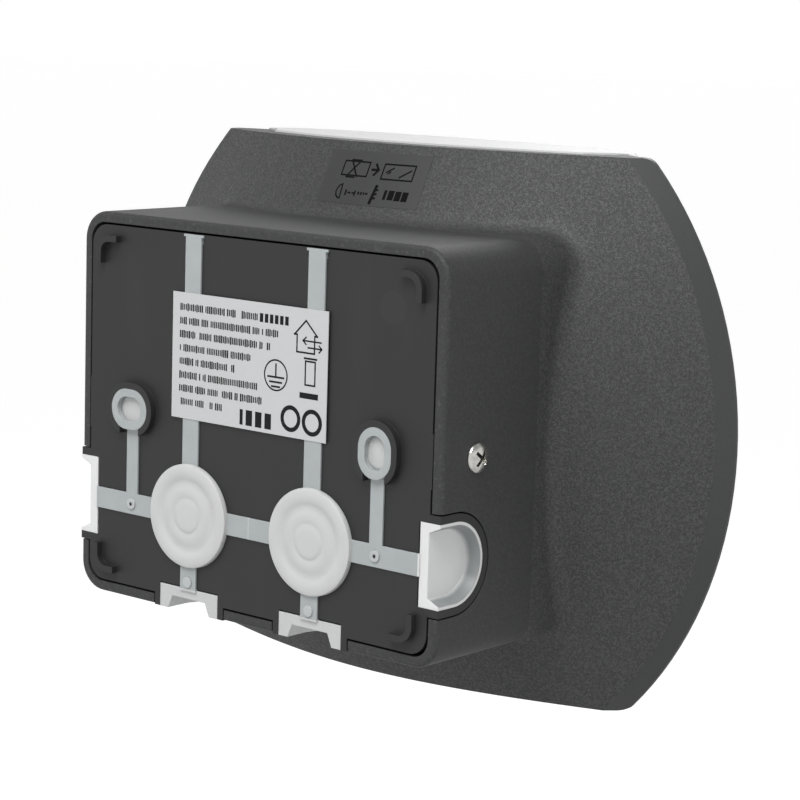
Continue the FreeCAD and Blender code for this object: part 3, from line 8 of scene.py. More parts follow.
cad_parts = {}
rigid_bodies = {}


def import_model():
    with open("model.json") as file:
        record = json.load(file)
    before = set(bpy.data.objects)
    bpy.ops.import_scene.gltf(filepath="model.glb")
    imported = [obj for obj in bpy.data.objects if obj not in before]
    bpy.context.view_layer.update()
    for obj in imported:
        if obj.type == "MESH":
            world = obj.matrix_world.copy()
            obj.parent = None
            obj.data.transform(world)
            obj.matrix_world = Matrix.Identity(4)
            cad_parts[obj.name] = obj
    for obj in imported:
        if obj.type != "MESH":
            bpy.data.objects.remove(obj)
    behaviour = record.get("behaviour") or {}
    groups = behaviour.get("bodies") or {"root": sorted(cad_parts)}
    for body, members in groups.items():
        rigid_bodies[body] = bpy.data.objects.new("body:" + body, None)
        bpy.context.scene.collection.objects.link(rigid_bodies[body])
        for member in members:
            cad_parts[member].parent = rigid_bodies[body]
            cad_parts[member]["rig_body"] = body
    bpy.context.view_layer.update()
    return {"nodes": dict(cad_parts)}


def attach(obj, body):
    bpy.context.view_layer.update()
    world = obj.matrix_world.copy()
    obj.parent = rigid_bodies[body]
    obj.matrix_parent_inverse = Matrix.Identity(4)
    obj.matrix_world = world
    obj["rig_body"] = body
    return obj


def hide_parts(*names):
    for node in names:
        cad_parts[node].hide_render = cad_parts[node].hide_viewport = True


# Looks of the motion sensor wall light. Settings are in millimetres, meshes in metres.
# The wall is the plane y = 0 and the light faces -y.

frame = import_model()
nodes = frame["nodes"]
mm = 0.001
rear = -2.0     # y of the wall plate's rear face; depths count from it towards the front


# Camera

eye = {
    "azimuth": 220.078,     # degrees, 180 looks straight at the lamp's back
    "elevation": 8.894,
    "roll": 1.743,
    "lens": 112.38,
    "distance": 656.155,
    "middleX": 251.549,     # pixel of the wall plate's middle in a picture of 800 x 800
    "middleY": 429.758,
    "picture": 800,
    "sensor": 36,
    "clipEnd": 200,         # metres
}


def setCamera():
    turn, lift, roll = [math.radians(eye[key]) for key in ("azimuth", "elevation", "roll")]
    back = Vector((math.sin(turn) * math.cos(lift), -math.cos(turn) * math.cos(lift), math.sin(lift)))
    side = Vector((math.cos(turn), math.sin(turn), 0))
    up = back.cross(side)
    right = math.cos(roll) * side + math.sin(roll) * up
    top = math.cos(roll) * up - math.sin(roll) * side
    focal = eye["lens"] / eye["sensor"] * eye["picture"]
    half = eye["picture"] / 2
    across = (eye["middleX"] - half) / focal
    down = (half - eye["middleY"]) / focal
    spot = eye["distance"] * (back - across * right - down * top) + Vector((0, rear, 0))
    camera = bpy.data.objects.new("photoCamera", bpy.data.cameras.new("photoCamera"))
    camera.data.lens = eye["lens"]
    camera.data.sensor_width = eye["sensor"]
    camera.data.clip_end = eye["clipEnd"]
    camera.matrix_world = Matrix((right, top, back)).transposed().to_4x4()
    camera.location = spot * mm
    bpy.context.scene.collection.objects.link(camera)
    bpy.context.scene.camera = camera


setCamera()
print("camera set")


# Materials

class Wire:
    # a socket; arithmetic on it adds Math nodes
    def __init__(self, recipe, socket):
        self.recipe = recipe
        self.socket = socket

    def maths(self, operation, first, second=0.0):
        return self.recipe.add("ShaderNodeMath", {"operation": operation}, {0: first, 1: second})

    def __add__(self, other):
        return self.maths("ADD", self, other)

    def __radd__(self, other):
        return self.maths("ADD", other, self)

    def __sub__(self, other):
        return self.maths("SUBTRACT", self, other)

    def __rsub__(self, other):
        return self.maths("SUBTRACT", other, self)

    def __mul__(self, other):
        return self.maths("MULTIPLY", self, other)

    def __rmul__(self, other):
        return self.maths("MULTIPLY", other, self)

    def __gt__(self, other):
        return self.maths("GREATER_THAN", self, other)

    def __lt__(self, other):
        return self.maths("LESS_THAN", self, other)

    def root(self):
        return self.maths("SQRT", self)

    def size(self):
        return self.maths("ABSOLUTE", self)

    def ramp(self, low, high):
        # 0 at low, 1 at high, smooth between them
        return self.recipe.add("ShaderNodeMapRange", {"interpolation_type": "SMOOTHSTEP"},
                               {"Value": self, "From Min": low, "From Max": high})


class Recipe:
    # one node material round a Principled shader
    def __init__(self, name, fixed):
        self.material = bpy.data.materials.new(name)
        self.material.use_nodes = True
        self.tree = self.material.node_tree
        self.shader = self.tree.nodes["Principled BSDF"]
        self.place = self.add("ShaderNodeTexCoord", {}, {}, "Object")
        for socket, value in fixed.items():
            self.feed(self.shader.inputs[socket], value)

    def add(self, kind, settings, values, output=0):
        made = self.tree.nodes.new(kind)
        for key, value in settings.items():
            setattr(made, key, value)
        for key, value in values.items():
            self.feed(made.inputs[key], value)
        return Wire(self, made.outputs[output])

    def feed(self, socket, value):
        if isinstance(value, Wire):
            self.tree.links.new(value.socket, socket)
        elif socket.type == "RGBA" and len(value) == 3:
            socket.default_value = (*value, 1.0)
        else:
            socket.default_value = value

    def axes(self):
        split = self.add("ShaderNodeSeparateXYZ", {}, {"Vector": self.place})
        return [Wire(self, socket) for socket in split.socket.node.outputs]

    def noise(self, cell, detail=2.0, stretch=None):
        # cloudy pattern whose cells are about that many millimetres wide
        place = self.place
        if stretch:
            place = self.add("ShaderNodeVectorMath", {"operation": "MULTIPLY"}, {0: place, 1: stretch})
        return self.add("ShaderNodeTexNoise", {}, {"Vector": place, "Scale": 1000 / cell, "Detail": detail})

    def cellEdges(self, cell):
        # distance from the borders of cells about that many millimetres wide
        return self.add("ShaderNodeTexVoronoi", {"feature": "DISTANCE_TO_EDGE"},
                        {"Vector": self.place, "Scale": 1000 / cell})

    def blend(self, share, first, second):
        return self.add("ShaderNodeMix", {"data_type": "RGBA"}, {0: share, 6: first, 7: second}, 2)

    def spot(self, x, z, radius, soft):
        # 1 within a circle on the wall side, 0 outside it
        across, _, up = self.axes()
        across = across - x * mm
        up = up - z * mm
        far = (across * across + up * up).root()
        return 1 - far.ramp((radius - soft) * mm, radius * mm)

    def finish(self, **links):
        names = {"colour": "Base Color", "rough": "Roughness", "coat": "Coat Weight", "glow": "Emission Color"}
        for key, value in links.items():
            self.feed(self.shader.inputs[names[key]], value)

    def bump(self, height, depth, strength=1.0, rounded=0.0):
        values = {"Height": height, "Distance": depth * mm, "Strength": strength}
        if rounded:
            values["Normal"] = self.add("ShaderNodeBevel", {"samples": 4}, {"Radius": rounded * mm})
        self.feed(self.shader.inputs["Normal"], self.add("ShaderNodeBump", {}, values))


housingLook = {
    "dark": (0.0165, 0.0168, 0.0172),
    "light": (0.030, 0.0303, 0.031),
    "lip": (0.030, 0.0315, 0.0305),
    "lipStart": 102.9,      # radius where the smooth lip starts
    "lipSoft": 0.3,
    # light colour for the painted glints on the sand and for the worn specks on the rear rim
    "paintedGlintAndWear": (0.062, 0.062, 0.064),
    "grain": 0.30,
    "grainDeep": 0.16,
    "rim": -3.2,            # y where the box's rear rim starts
    "boxWide": 65.4,
    "boxHigh": 53.6,
    "boxEnd": -40.0,
    "cloud": 45.0,
    "speck": 1.1,           # worn specks on the rear rim
    "rounded": 0.3,
    "rough": 0.62,
}


def housingPlastic():
    # sand-textured pan with painted glints on its grain peaks, smoother box walls, smooth lip
    look = housingLook
    recipe = Recipe("housingPlastic", {"IOR": 1.47, "Specular IOR Level": 0.5})
    x, y, z = recipe.axes()
    far = (x * x + z * z).root()
    lip = far.ramp((look["lipStart"] - look["lipSoft"]) * mm, look["lipStart"] * mm)
    box = (x.size() < look["boxWide"] * mm) * (z.size() < look["boxHigh"] * mm) * (y > look["boxEnd"] * mm)
    sand = recipe.noise(look["grain"], 3.0) * 0.65 + recipe.noise(look["grain"] * 2.6, 2.0) * 0.35
    cloud = recipe.noise(look["cloud"], 3.0)
    rough = (1 - lip * 0.85) * (1 - box * 0.5)
    peaks = sand.ramp(0.36, 0.66)
    # painted highlight: the highest sand grains are lightened as glints
    paintedGlints = sand.ramp(0.44, 0.66) * rough * (1 - box * 0.7)
    colour = recipe.blend(peaks * (0.4 + rough * 0.6), look["dark"], look["light"])
    colour = recipe.blend(lip * 0.75, colour, look["lip"])
    colour = recipe.blend(paintedGlints * 0.7, colour, look["paintedGlintAndWear"])
    worn = (y > look["rim"] * mm) * recipe.noise(look["speck"], 3.0).ramp(0.58, 0.70)
    colour = recipe.blend(worn * 0.6, colour, look["paintedGlintAndWear"])
    recipe.finish(colour=recipe.blend(cloud * 0.14, colour, look["lip"]),
                  rough=look["rough"] + (cloud - 0.5) * 0.08 - lip * 0.1 - paintedGlints * 0.16)
    recipe.bump(sand * rough, look["grainDeep"], 0.8, look["rounded"])
    return recipe.material


plateLook = {
    "colour": (0.0095, 0.0096, 0.0099),
    "worn": (0.020, 0.020, 0.0208),
    "mark": (-47.5, 37.0, 4.6),     # x, z and radius of a faint round tool mark near one rib
    "cloud": 30.0,
    "grain": 0.35,
    "grainDeep": 0.03,
    "rub": 14.0,
    "rubStretch": (1.0, 1.0, 0.25),
    "rounded": 0.25,
    "rough": 0.58,
}


def platePlastic():
    look = plateLook
    recipe = Recipe("platePlastic", {"IOR": 1.47})
    cloud = recipe.noise(look["cloud"], 4.0)
    fine = recipe.noise(look["grain"], 2.0)
    markX, markZ, markRound = look["mark"]
    ring = recipe.spot(markX, markZ, markRound, 0.6) * 0.4
    rub = recipe.noise(look["rub"], 5.0, look["rubStretch"]).ramp(0.56, 0.7)
    recipe.finish(colour=recipe.blend(cloud * 0.3 + rub * 0.18 + ring * 0.5, look["colour"], look["worn"]),
                  rough=look["rough"] + (cloud - 0.5) * 0.12 - ring * 0.15)
    recipe.bump(fine * 0.7 + ring * 0.3, look["grainDeep"], 0.6, look["rounded"])
    return recipe.material


sealLook = {
    "thick": (0.415, 0.415, 0.415),
    "thin": (0.265, 0.285, 0.29),
    # painted light: the side cups lighter than the thick seal; painted shade on their inner walls
    "cup": (0.56, 0.56, 0.56),
    "cupWall": (0.17, 0.18, 0.18),
    "plugs": (44.4, 3.9),           # x and radius of the skins in the screw plugs
    "grommets": ((22.15, -26.5), (-22.15, -26.5)),
    "grommetRound": 14.4,
    "sideStart": 58.4,              # half width where the side cups start
    "footTop": -46.8,               # top of the bottom cups
    "raised": (-1.4, -0.9),         # y between which the collars' plugs stand
    "skinFace": -1.36,
    "cupMiddle": (-8.3, -26.3),     # y, z of the side cups
    "cupRounds": (8.2, 9.0, 9.9, 10.3),     # radii between which the painted shade on their walls fades in and out
    "cupStart": 60.5,
    "cupFace": -2.2,
    "weld": (0.0, 0.35),            # x and half width of the line between the grommets
    "welded": (0.62, 0.65, 0.66),
    "cloud": 6.0,
    "ripple": 1.2,
    "rippleDeep": 0.04,
    "rounded": 0.3,
    "rough": 0.42,
}


def softSealPlastic():
    # milky soft plastic: greyer where it is thin over the dark plate; the side cups get painted light and
    # their inner walls painted shade
    look = sealLook
    recipe = Recipe("softSealPlastic", {"IOR": 1.49, "Subsurface Weight": 0.25, "Subsurface Scale": 0.0015})
    recipe.shader.inputs["Subsurface Radius"].default_value = (1.0, 1.0, 1.0)
    x, y, z = recipe.axes()
    thick = None
    for placeX, placeZ in look["grommets"]:
        mark = recipe.spot(placeX, placeZ, look["grommetRound"], 0.3)
        thick = mark if thick is None else thick + mark
    sides = x.size() > look["sideStart"] * mm
    foot = z < look["footTop"] * mm
    weldX, weldWide = look["weld"]
    weld = 1 - (x - weldX * mm).size().ramp(0.0, weldWide * mm)
    cloud = recipe.noise(look["cloud"], 3.0)
    plugX, plugRound = look["plugs"]
    skin = recipe.spot(plugX, 0, plugRound, 0.3) + recipe.spot(-plugX, 0, plugRound, 0.3)
    skin = skin * (y < look["skinFace"] * mm)
    low, high = look["raised"]
    raised = (y > low * mm) * (y < high * mm)
    share = (thick + skin + foot * 0.8 + raised * 0.5).ramp(0.0, 1.0)
    cupY, cupZ = look["cupMiddle"]
    down = y - cupY * mm
    down = down.maths("MINIMUM", down, 0.0)
    up = z - cupZ * mm
    far = (down * down + up * up).root()
    inner, wallStart, wallEnd, outer = [radius * mm for radius in look["cupRounds"]]
    wall = far.ramp(inner, wallStart) * (1 - far.ramp(wallEnd, outer))
    wall = wall * (x.size() > look["cupStart"] * mm) * (y < look["cupFace"] * mm)
    colour = recipe.blend(share, look["thin"], look["thick"])
    # painted light on the side cups, then painted shade on their inner walls
    colour = recipe.blend(sides, colour, look["cup"])
    colour = recipe.blend(wall, colour, look["cupWall"])
    colour = recipe.blend(cloud * 0.16 + weld * 0.25, colour, look["welded"])
    recipe.finish(colour=colour, rough=look["rough"] + (cloud - 0.5) * 0.15)
    recipe.bump(recipe.noise(look["ripple"], 3.0) + weld * 0.6, look["rippleDeep"], 0.5, look["rounded"])
    return recipe.material


labelLook = {"paper": (0.43, 0.435, 0.44), "shade": (0.38, 0.385, 0.39)}


def labelPaper():
    recipe = Recipe("labelPaper", {"IOR": 1.45})
    fibres = recipe.noise(0.8, 4.0, (1.0, 1.0, 3.0))
    cloud = recipe.noise(22, 2.0)
    recipe.finish(colour=recipe.blend(fibres * 0.4 + cloud * 0.3, labelLook["paper"], labelLook["shade"]),
                  rough=0.5 + fibres * 0.1)
    recipe.bump(fibres, 0.01, 0.4)
    return recipe.material


filmLook = {"film": (0.015, 0.0152, 0.0157), "paintedSheenAndGrain": (0.024, 0.0243, 0.025)}


def labelFilm():
    # clear film on the grained pan, a little glossier than the plastic under it; painted sheen where it
    # wrinkles, and the grain under it shows through lighter
    recipe = Recipe("labelFilm", {"IOR": 1.5, "Coat Roughness": 0.25})
    wrinkle = recipe.noise(5, 3.0, (1.0, 1.0, 2.0))
    under = recipe.noise(0.9, 3.0)
    # lighter where the film wrinkles (painted sheen) and where the grain under it shows
    recipe.finish(colour=recipe.blend(wrinkle * 0.6 + under * 0.3, filmLook["film"], filmLook["paintedSheenAndGrain"]),
                  rough=0.5 + wrinkle * 0.12, coat=wrinkle * 0.08)
    recipe.bump(wrinkle * 0.5 + under * 0.5, 0.05, 0.6)
    return recipe.material


opalLook = {
    "white": (0.72, 0.72, 0.72),
    "shade": (0.66, 0.66, 0.66),
    "edge": (0.38, 0.38, 0.38),     # painted shade on the thin flat edges at the top and bottom
    "shadedEdgeHigh": 73.2,
    "rough": 0.34,
}


def opalPlastic():
    recipe = Recipe("opalPlastic", {"IOR": 1.5, "Subsurface Weight": 0.2, "Subsurface Scale": 0.003})
    recipe.shader.inputs["Subsurface Radius"].default_value = (1.0, 1.0, 1.0)
    cloud = recipe.noise(60, 3.0)
    fine = recipe.noise(0.6, 2.0)
    _, _, z = recipe.axes()
    body = recipe.blend(cloud * 0.5, opalLook["white"], opalLook["shade"])
    # painted shade: the thin flat top and bottom edges are darker than the dome
    recipe.finish(colour=recipe.blend(z.size() > opalLook["shadedEdgeHigh"] * mm, body, opalLook["edge"]),
                  rough=opalLook["rough"] + (fine - 0.5) * 0.12)
    recipe.bump(fine, 0.015, 0.4, 0.3)
    return recipe.material


lensLook = {"milk": (0.74, 0.75, 0.755), "deep": (0.60, 0.62, 0.63), "middle": -49.0, "pitch": 0.35}


def lensPlastic():
    # milky lens: fine concentric grooves inside show faintly through it
    recipe = Recipe("lensPlastic", {"IOR": 1.5, "Subsurface Weight": 0.3, "Subsurface Scale": 0.002})
    recipe.shader.inputs["Subsurface Radius"].default_value = (1.0, 1.0, 1.0)
    x, _, z = recipe.axes()
    up = z - lensLook["middle"] * mm
    far = (x * x + up * up).root()
    groove = far.maths("PINGPONG", far, lensLook["pitch"] * mm) * (1000 / lensLook["pitch"])
    cloud = recipe.noise(3, 2.0)
    recipe.finish(colour=recipe.blend(groove * 0.5 + cloud * 0.2, lensLook["milk"], lensLook["deep"]),
                  rough=0.38 + groove * 0.15)
    recipe.bump(groove * 0.5 + cloud * 0.5, 0.02, 0.4)
    return recipe.material


plastics = {
    # colour, lighter colour, roughness, grain in mm, its depth
    "pod_plastic": ((0.017, 0.0173, 0.0178), (0.030, 0.0303, 0.031), 0.55, 0.45, 0.06),
    "dark_rubber": ((0.010, 0.010, 0.0105), (0.022, 0.022, 0.023), 0.78, 0.8, 0.04),
    "white_plastic": ((0.76, 0.76, 0.74), (0.66, 0.66, 0.64), 0.42, 0.7, 0.02),
    "tray_plastic": ((0.84, 0.84, 0.82), (0.74, 0.74, 0.72), 0.5, 0.5, 0.04),
    "chip_black": ((0.010, 0.010, 0.010), (0.030, 0.030, 0.030), 0.62, 0.2, 0.02),
    "ferrite": ((0.020, 0.020, 0.022), (0.055, 0.055, 0.060), 0.7, 0.9, 0.05),
    "capacitor_sleeve": ((0.012, 0.014, 0.040), (0.022, 0.025, 0.060), 0.28, 4.0, 0.02),
    "relay_blue": ((0.020, 0.065, 0.230), (0.035, 0.095, 0.300), 0.36, 3.0, 0.02),
    "varistor_blue": ((0.030, 0.085, 0.260), (0.060, 0.140, 0.340), 0.45, 0.9, 0.08),
    "fuse_glass": ((0.62, 0.62, 0.60), (0.50, 0.50, 0.48), 0.3, 1.2, 0.02),
    "lead_brown": ((0.110, 0.042, 0.018), (0.160, 0.070, 0.035), 0.5, 1.4, 0.02),
    "lead_blue": ((0.018, 0.070, 0.300), (0.040, 0.110, 0.400), 0.5, 1.4, 0.02),
    "lead_green": ((0.070, 0.260, 0.050), (0.320, 0.360, 0.040), 0.5, 1.4, 0.02),
    "lead_red": ((0.420, 0.016, 0.012), (0.520, 0.040, 0.030), 0.5, 1.2, 0.02),
    "lead_black": ((0.012, 0.012, 0.012), (0.030, 0.030, 0.030), 0.5, 1.2, 0.02),
    "lead_grey": ((0.200, 0.200, 0.200), (0.260, 0.260, 0.260), 0.55, 1.6, 0.02),
}


def mouldedPlastic(name):
    colour, lighter, rough, grain, depth = plastics[name]
    recipe = Recipe(name + "Finish", {"IOR": 1.48})
    fine = recipe.noise(grain, 3.0)
    cloud = recipe.noise(grain * 18, 3.0)
    recipe.finish(colour=recipe.blend(fine.ramp(0.35, 0.7) * 0.5 + cloud * 0.3, colour, lighter),
                  rough=rough + (cloud - 0.5) * 0.16 + (fine - 0.5) * 0.08)
    recipe.bump(fine * 0.7 + cloud * 0.3, depth, 0.6)
    return recipe.material


metals = {
    # colour, darker colour, roughness, streaks along X, Y, Z
    "zinc_steel": ((0.62, 0.61, 0.58), (0.36, 0.36, 0.34), 0.17, (1.0, 0.4, 1.0)),
    "brass_metal": ((0.60, 0.43, 0.16), (0.42, 0.28, 0.09), 0.34, (1.0, 1.0, 0.2)),
    "can_metal": ((0.66, 0.60, 0.44), (0.50, 0.45, 0.33), 0.28, (1.0, 0.2, 1.0)),
    "solder": ((0.62, 0.62, 0.63), (0.40, 0.40, 0.41), 0.26, (1.0, 1.0, 1.0)),
    "copper": ((0.62, 0.26, 0.11), (0.42, 0.15, 0.06), 0.30, (1.0, 1.0, 1.0)),
}


def bareMetal(name):
    colour, darker, rough, streaks = metals[name]
    recipe = Recipe(name + "Finish", {"Metallic": 1.0})
    brushed = recipe.noise(0.4, 4.0, streaks)
    tarnish = recipe.noise(2.5, 3.0)
    recipe.finish(colour=recipe.blend(tarnish.ramp(0.4, 0.75) * 0.7, colour, darker),
                  rough=rough + brushed * 0.18)
    recipe.bump(brushed, 0.012, 0.5)
    return recipe.material


boardLook = {
    "board_white": {"lacquer": (0.80, 0.80, 0.79), "track": (0.70, 0.70, 0.69), "rough": 0.35, "cell": 7.0},
    "board_green": {"lacquer": (0.012, 0.085, 0.030), "track": (0.020, 0.140, 0.045), "rough": 0.3,
                    "cell": 7.0},
}


def circuitBoard(name):
    # lacquer over copper tracks: broad cells of copper with narrow gaps
    look = boardLook[name]
    recipe = Recipe(name + "Finish", {"IOR": 1.52, "Coat Roughness": 0.2})
    gaps = recipe.cellEdges(look["cell"]).ramp(0.03, 0.06)
    dust = recipe.noise(1.0, 3.0)
    recipe.finish(colour=recipe.blend(gaps * 0.8 + dust * 0.15, look["lacquer"], look["track"]),
                  rough=look["rough"] + dust * 0.12, coat=0.3)
    recipe.bump(gaps, 0.03, 0.5)
    return recipe.material


grainy = {
    # colour, second colour, its share, roughness, its change, grain in mm, its detail, depth and strength of
    # the bump, fixed values
    "labelInk": ((0.006, 0.006, 0.007), (0.014, 0.014, 0.015), 0.5, 0.55, 0.15, 0.15, 2.0, 0.005, 0.3,
                 {"IOR": 1.45, "Specular IOR Level": 0.15}),
    "filmInk": ((0.0025, 0.0025, 0.0027), (0.015, 0.0152, 0.0157), 0.4, 0.75, 0.12, 0.3, 2.0, 0.006, 0.3,
                {"IOR": 1.4, "Specular IOR Level": 0.08}),
    "ledCup": ((0.82, 0.80, 0.70), (0.70, 0.68, 0.60), 0.4, 0.4, 0.1, 0.5, 2.0, 0.01, 0.4, {"IOR": 1.5}),
    "ledPhosphor": ((0.86, 0.60, 0.05), (0.90, 0.72, 0.15), 0.5, 0.3, 0.1, 0.25, 3.0, 0.01, 0.3,
                    {"IOR": 1.41, "Coat Roughness": 0.1, "Coat Weight": 0.4}),
    "paintWhite": ((0.72, 0.72, 0.72), (0.58, 0.58, 0.58), 0.5, 0.5, 0.1, 0.3, 2.0, 0.01, 0.3, {"IOR": 1.46}),
}


def grainyFinish(name):
    colour, second, share, rough, change, grain, detail, depth, strength, fixed = grainy[name]
    recipe = Recipe(name, fixed)
    speck = recipe.noise(grain, detail)
    recipe.finish(colour=recipe.blend(speck * share, colour, second), rough=rough + speck * change)
    recipe.bump(speck, depth, strength)
    return recipe.material


finishes = {
    "housing_plastic": housingPlastic(),
    "plate_plastic": platePlastic(),
    "seal_rubber": softSealPlastic(),
    "white_label": labelPaper(),
    "clear_film": labelFilm(),
    "opal_plastic": opalPlastic(),
    "lens_plastic": lensPlastic(),
    "led_yellow": grainyFinish("ledCup"),
}
for name in plastics:
    finishes[name] = mouldedPlastic(name)
for name in metals:
    finishes[name] = bareMetal(name)
for name in boardLook:
    finishes[name] = circuitBoard(name)
ink, darkInk, phosphor, whitePaint = [
    grainyFinish(name) for name in ("labelInk", "filmInk", "ledPhosphor", "paintWhite")]
print("materials made:", len(finishes) + 4)


def slotOf(name):
    # the record's slot of a CAD node, which names its packed material
    return nodes[name].data.materials[0].name.split(".")[0]


slots = {name: slotOf(name) for name in nodes}
for name, piece in nodes.items():
    for holder in piece.material_slots:
        holder.material = finishes[slots[name]]
print("finishes on", len(slots), "nodes")


# Pieces

def addPiece(name, mesh, material, slot, body="lamp", instead=()):
    # own piece that rides on a body and may stand for CAD nodes
    piece = bpy.data.objects.new(name, mesh)
    if not mesh.materials:
        mesh.materials.append(material)
    bpy.context.scene.collection.objects.link(piece)
    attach(piece, body)
    if instead:
        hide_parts(*instead)
    return piece


def smoothCopy(node, name, angle=28.0):
    # merged copy of a CAD node, smooth but for its sharp edges
    work = bmesh.new()
    work.from_mesh(nodes[node].data)
    bmesh.ops.remove_doubles(work, verts=work.verts, dist=0.002 * mm)
    bmesh.ops.recalc_face_normals(work, faces=work.faces)
    limit = math.radians(angle)
    for face in work.faces:
        face.smooth = True
        face.material_index = 0
    for edge in work.edges:
        edge.smooth = len(edge.link_faces) == 2 and edge.calc_face_angle() < limit
    mesh = bpy.data.meshes.new(name)
    work.to_mesh(mesh)
    work.free()
    for extra in [item.name for item in mesh.attributes if item.name == "custom_normal"]:
        mesh.attributes.remove(mesh.attributes[extra])
    mesh.materials.clear()
    body = nodes[node]["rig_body"]
    return addPiece(name, mesh, finishes[slots[node]], slots[node], body, [node])


copies = {
    "housing": "lamp_housing",
    "diffuser": "lamp_diffuser",
    "wall_plate": "back_plate",
    "cable_seal": "soft_seal",
    "sensor_pod": "pod_shell",
    "fresnel_lens": "lens_dome",
    "time_knob": "time_cap",
    "dusk_knob": "dusk_cap",
    "range_knob": "range_cap",
}
made = {name: smoothCopy(node, name) for node, name in copies.items()}
print("smooth copies:", len(copies))


# Soft seal: short flares at the runners' ends, waved grommets, skins in the screw plugs

sealShape = {
    "flareTop": (48.9, 49.6),       # height in the CAD, height wanted
    "flareLow": (47.2, 48.95),
    "flareReach": 0.15,
    "grommets": ((22.15, -26.5), (-22.15, -26.5)),
    "grommetFace": -0.92,
    "wave": ((0, -0.3), (14.05, -0.3), (14.17, 0.0), (14.0, 0.26), (13.5, 0.44), (12.7, 0.55),
             (11.8, 0.56), (11.0, 0.46), (10.4, 0.28), (9.9, 0.10), (9.4, 0.02), (8.8, 0.03), (8.2, 0.12),
             (7.6, 0.27), (7.0, 0.36), (6.2, 0.39), (5.6, 0.35), (5.1, 0.24), (4.8, 0.22), (4.5, 0.30),
             (4.1, 0.42), (3.2, 0.47), (0, 0.49)),      # radius and height from the grommet's middle
    "skins": ((44.4, 4.62, 3.42), (-44.4, 3.32, 4.52)),     # x, half width, half height
    "skinDeep": (-1.65, -1.42),
    "skinEdge": (0.06, 0.25),       # height and width of the bevel round a skin
    "sides": 96,
}


def turnShape(work, profile, place, sides):
    # closed shape turned round the place's third axis: points of radius and height, both ends on the axis
    rings = []
    for radius, height in profile:
        count = sides if radius else 1
        rings.append([work.verts.new(place @ Vector((radius * math.cos(math.tau * step / sides),
                                                     radius * math.sin(math.tau * step / sides), height)))
                      for step in range(count)])
    for ring, after in zip(rings, rings[1:]):
        for step in range(sides):
            corners = [ring[step % len(ring)], ring[(step + 1) % len(ring)],
                       after[(step + 1) % len(after)], after[step % len(after)]]
            work.faces.new(list(dict.fromkeys(corners)))


def closeWork(work, name, angle=35.0):
    # mesh of the work with outward faces, smooth but for its sharp edges
    bmesh.ops.recalc_face_normals(work, faces=work.faces)
    for face in work.faces:
        face.smooth = True
    for edge in work.edges:
        edge.smooth = edge.calc_face_angle() < math.radians(angle)
    mesh = bpy.data.meshes.new(name)
    work.to_mesh(mesh)
    work.free()
    return mesh


def facing(direction, place):
    # frame in millimetres whose third axis points that way
    turn = Vector(direction).to_track_quat("Z", "Y").to_matrix().to_4x4()
    return Matrix.Scale(mm, 4) @ Matrix.Translation(place) @ turn


def stadiumLoop(x, halfWide, halfHigh, shrink, steps=16):
    # slot outline with round ends, drawn in by the shrink
    far = min(halfWide, halfHigh)
    loop = []
    for step in range(steps * 4):
        angle = math.tau * (step + 0.5) / (steps * 4)
        across = math.copysign(halfWide - far, math.cos(angle)) + (far - shrink) * math.cos(angle)
        up = math.copysign(halfHigh - far, math.sin(angle)) + (far - shrink) * math.sin(angle)
        loop.append((x + across, up))
    return loop


def sealPieces():
    look = sealShape
    for vertex in made["soft_seal"].data.vertices:
        for old, new in (look["flareTop"], look["flareLow"]):
            if abs(vertex.co.z - old * mm) < look["flareReach"] * mm:
                vertex.co.z = new * mm
    work = bmesh.new()
    for x, z in look["grommets"]:
        turnShape(work, look["wave"], facing((0, 1, 0), (x, look["grommetFace"], z)), look["sides"])
    addPiece("grommet_faces", closeWork(work, "grommetFaces"), finishes["seal_rubber"], "seal_rubber")
    work = bmesh.new()
    foot, face = look["skinDeep"]
    bevelHigh, bevelWide = look["skinEdge"]
    for x, halfWide, halfHigh in look["skins"]:
        loops = []
        for deep, shrink in ((foot, 0.0), (face - bevelHigh, 0.0), (face, bevelWide)):
            loops.append([work.verts.new(Vector((across, deep, up)) * mm)
                          for across, up in stadiumLoop(x, halfWide, halfHigh, shrink)])
        work.faces.new(loops[0])
        work.faces.new(loops[-1])
        for loop, after in zip(loops, loops[1:]):
            for step, corner in enumerate(loop):
                work.faces.new((loop[step - 1], corner, after[step], after[step - 1]))
    addPiece("plug_skins", closeWork(work, "plugSkins"), finishes["seal_rubber"], "seal_rubber")


sealPieces()


# Side screws: domed heads with a cross

sideScrews = {
    "deep": -15.65,
    "seat": 65.0,
    "profile": ((0, -9.0), (2.0, -9.0), (2.0, 0.0), (3.9, 0.0), (3.92, 0.3), (3.78, 0.62), (3.4, 0.94),
                (2.8, 1.24), (2.0, 1.48), (1.0, 1.62), (0, 1.66)),
    "turns": (50, 140),
    # half length, half width and height at the top and the bottom
    "cross": ((2.7, 0.5, 1.9), (1.5, 0.34, -0.9)),
    "sides": 72,
}


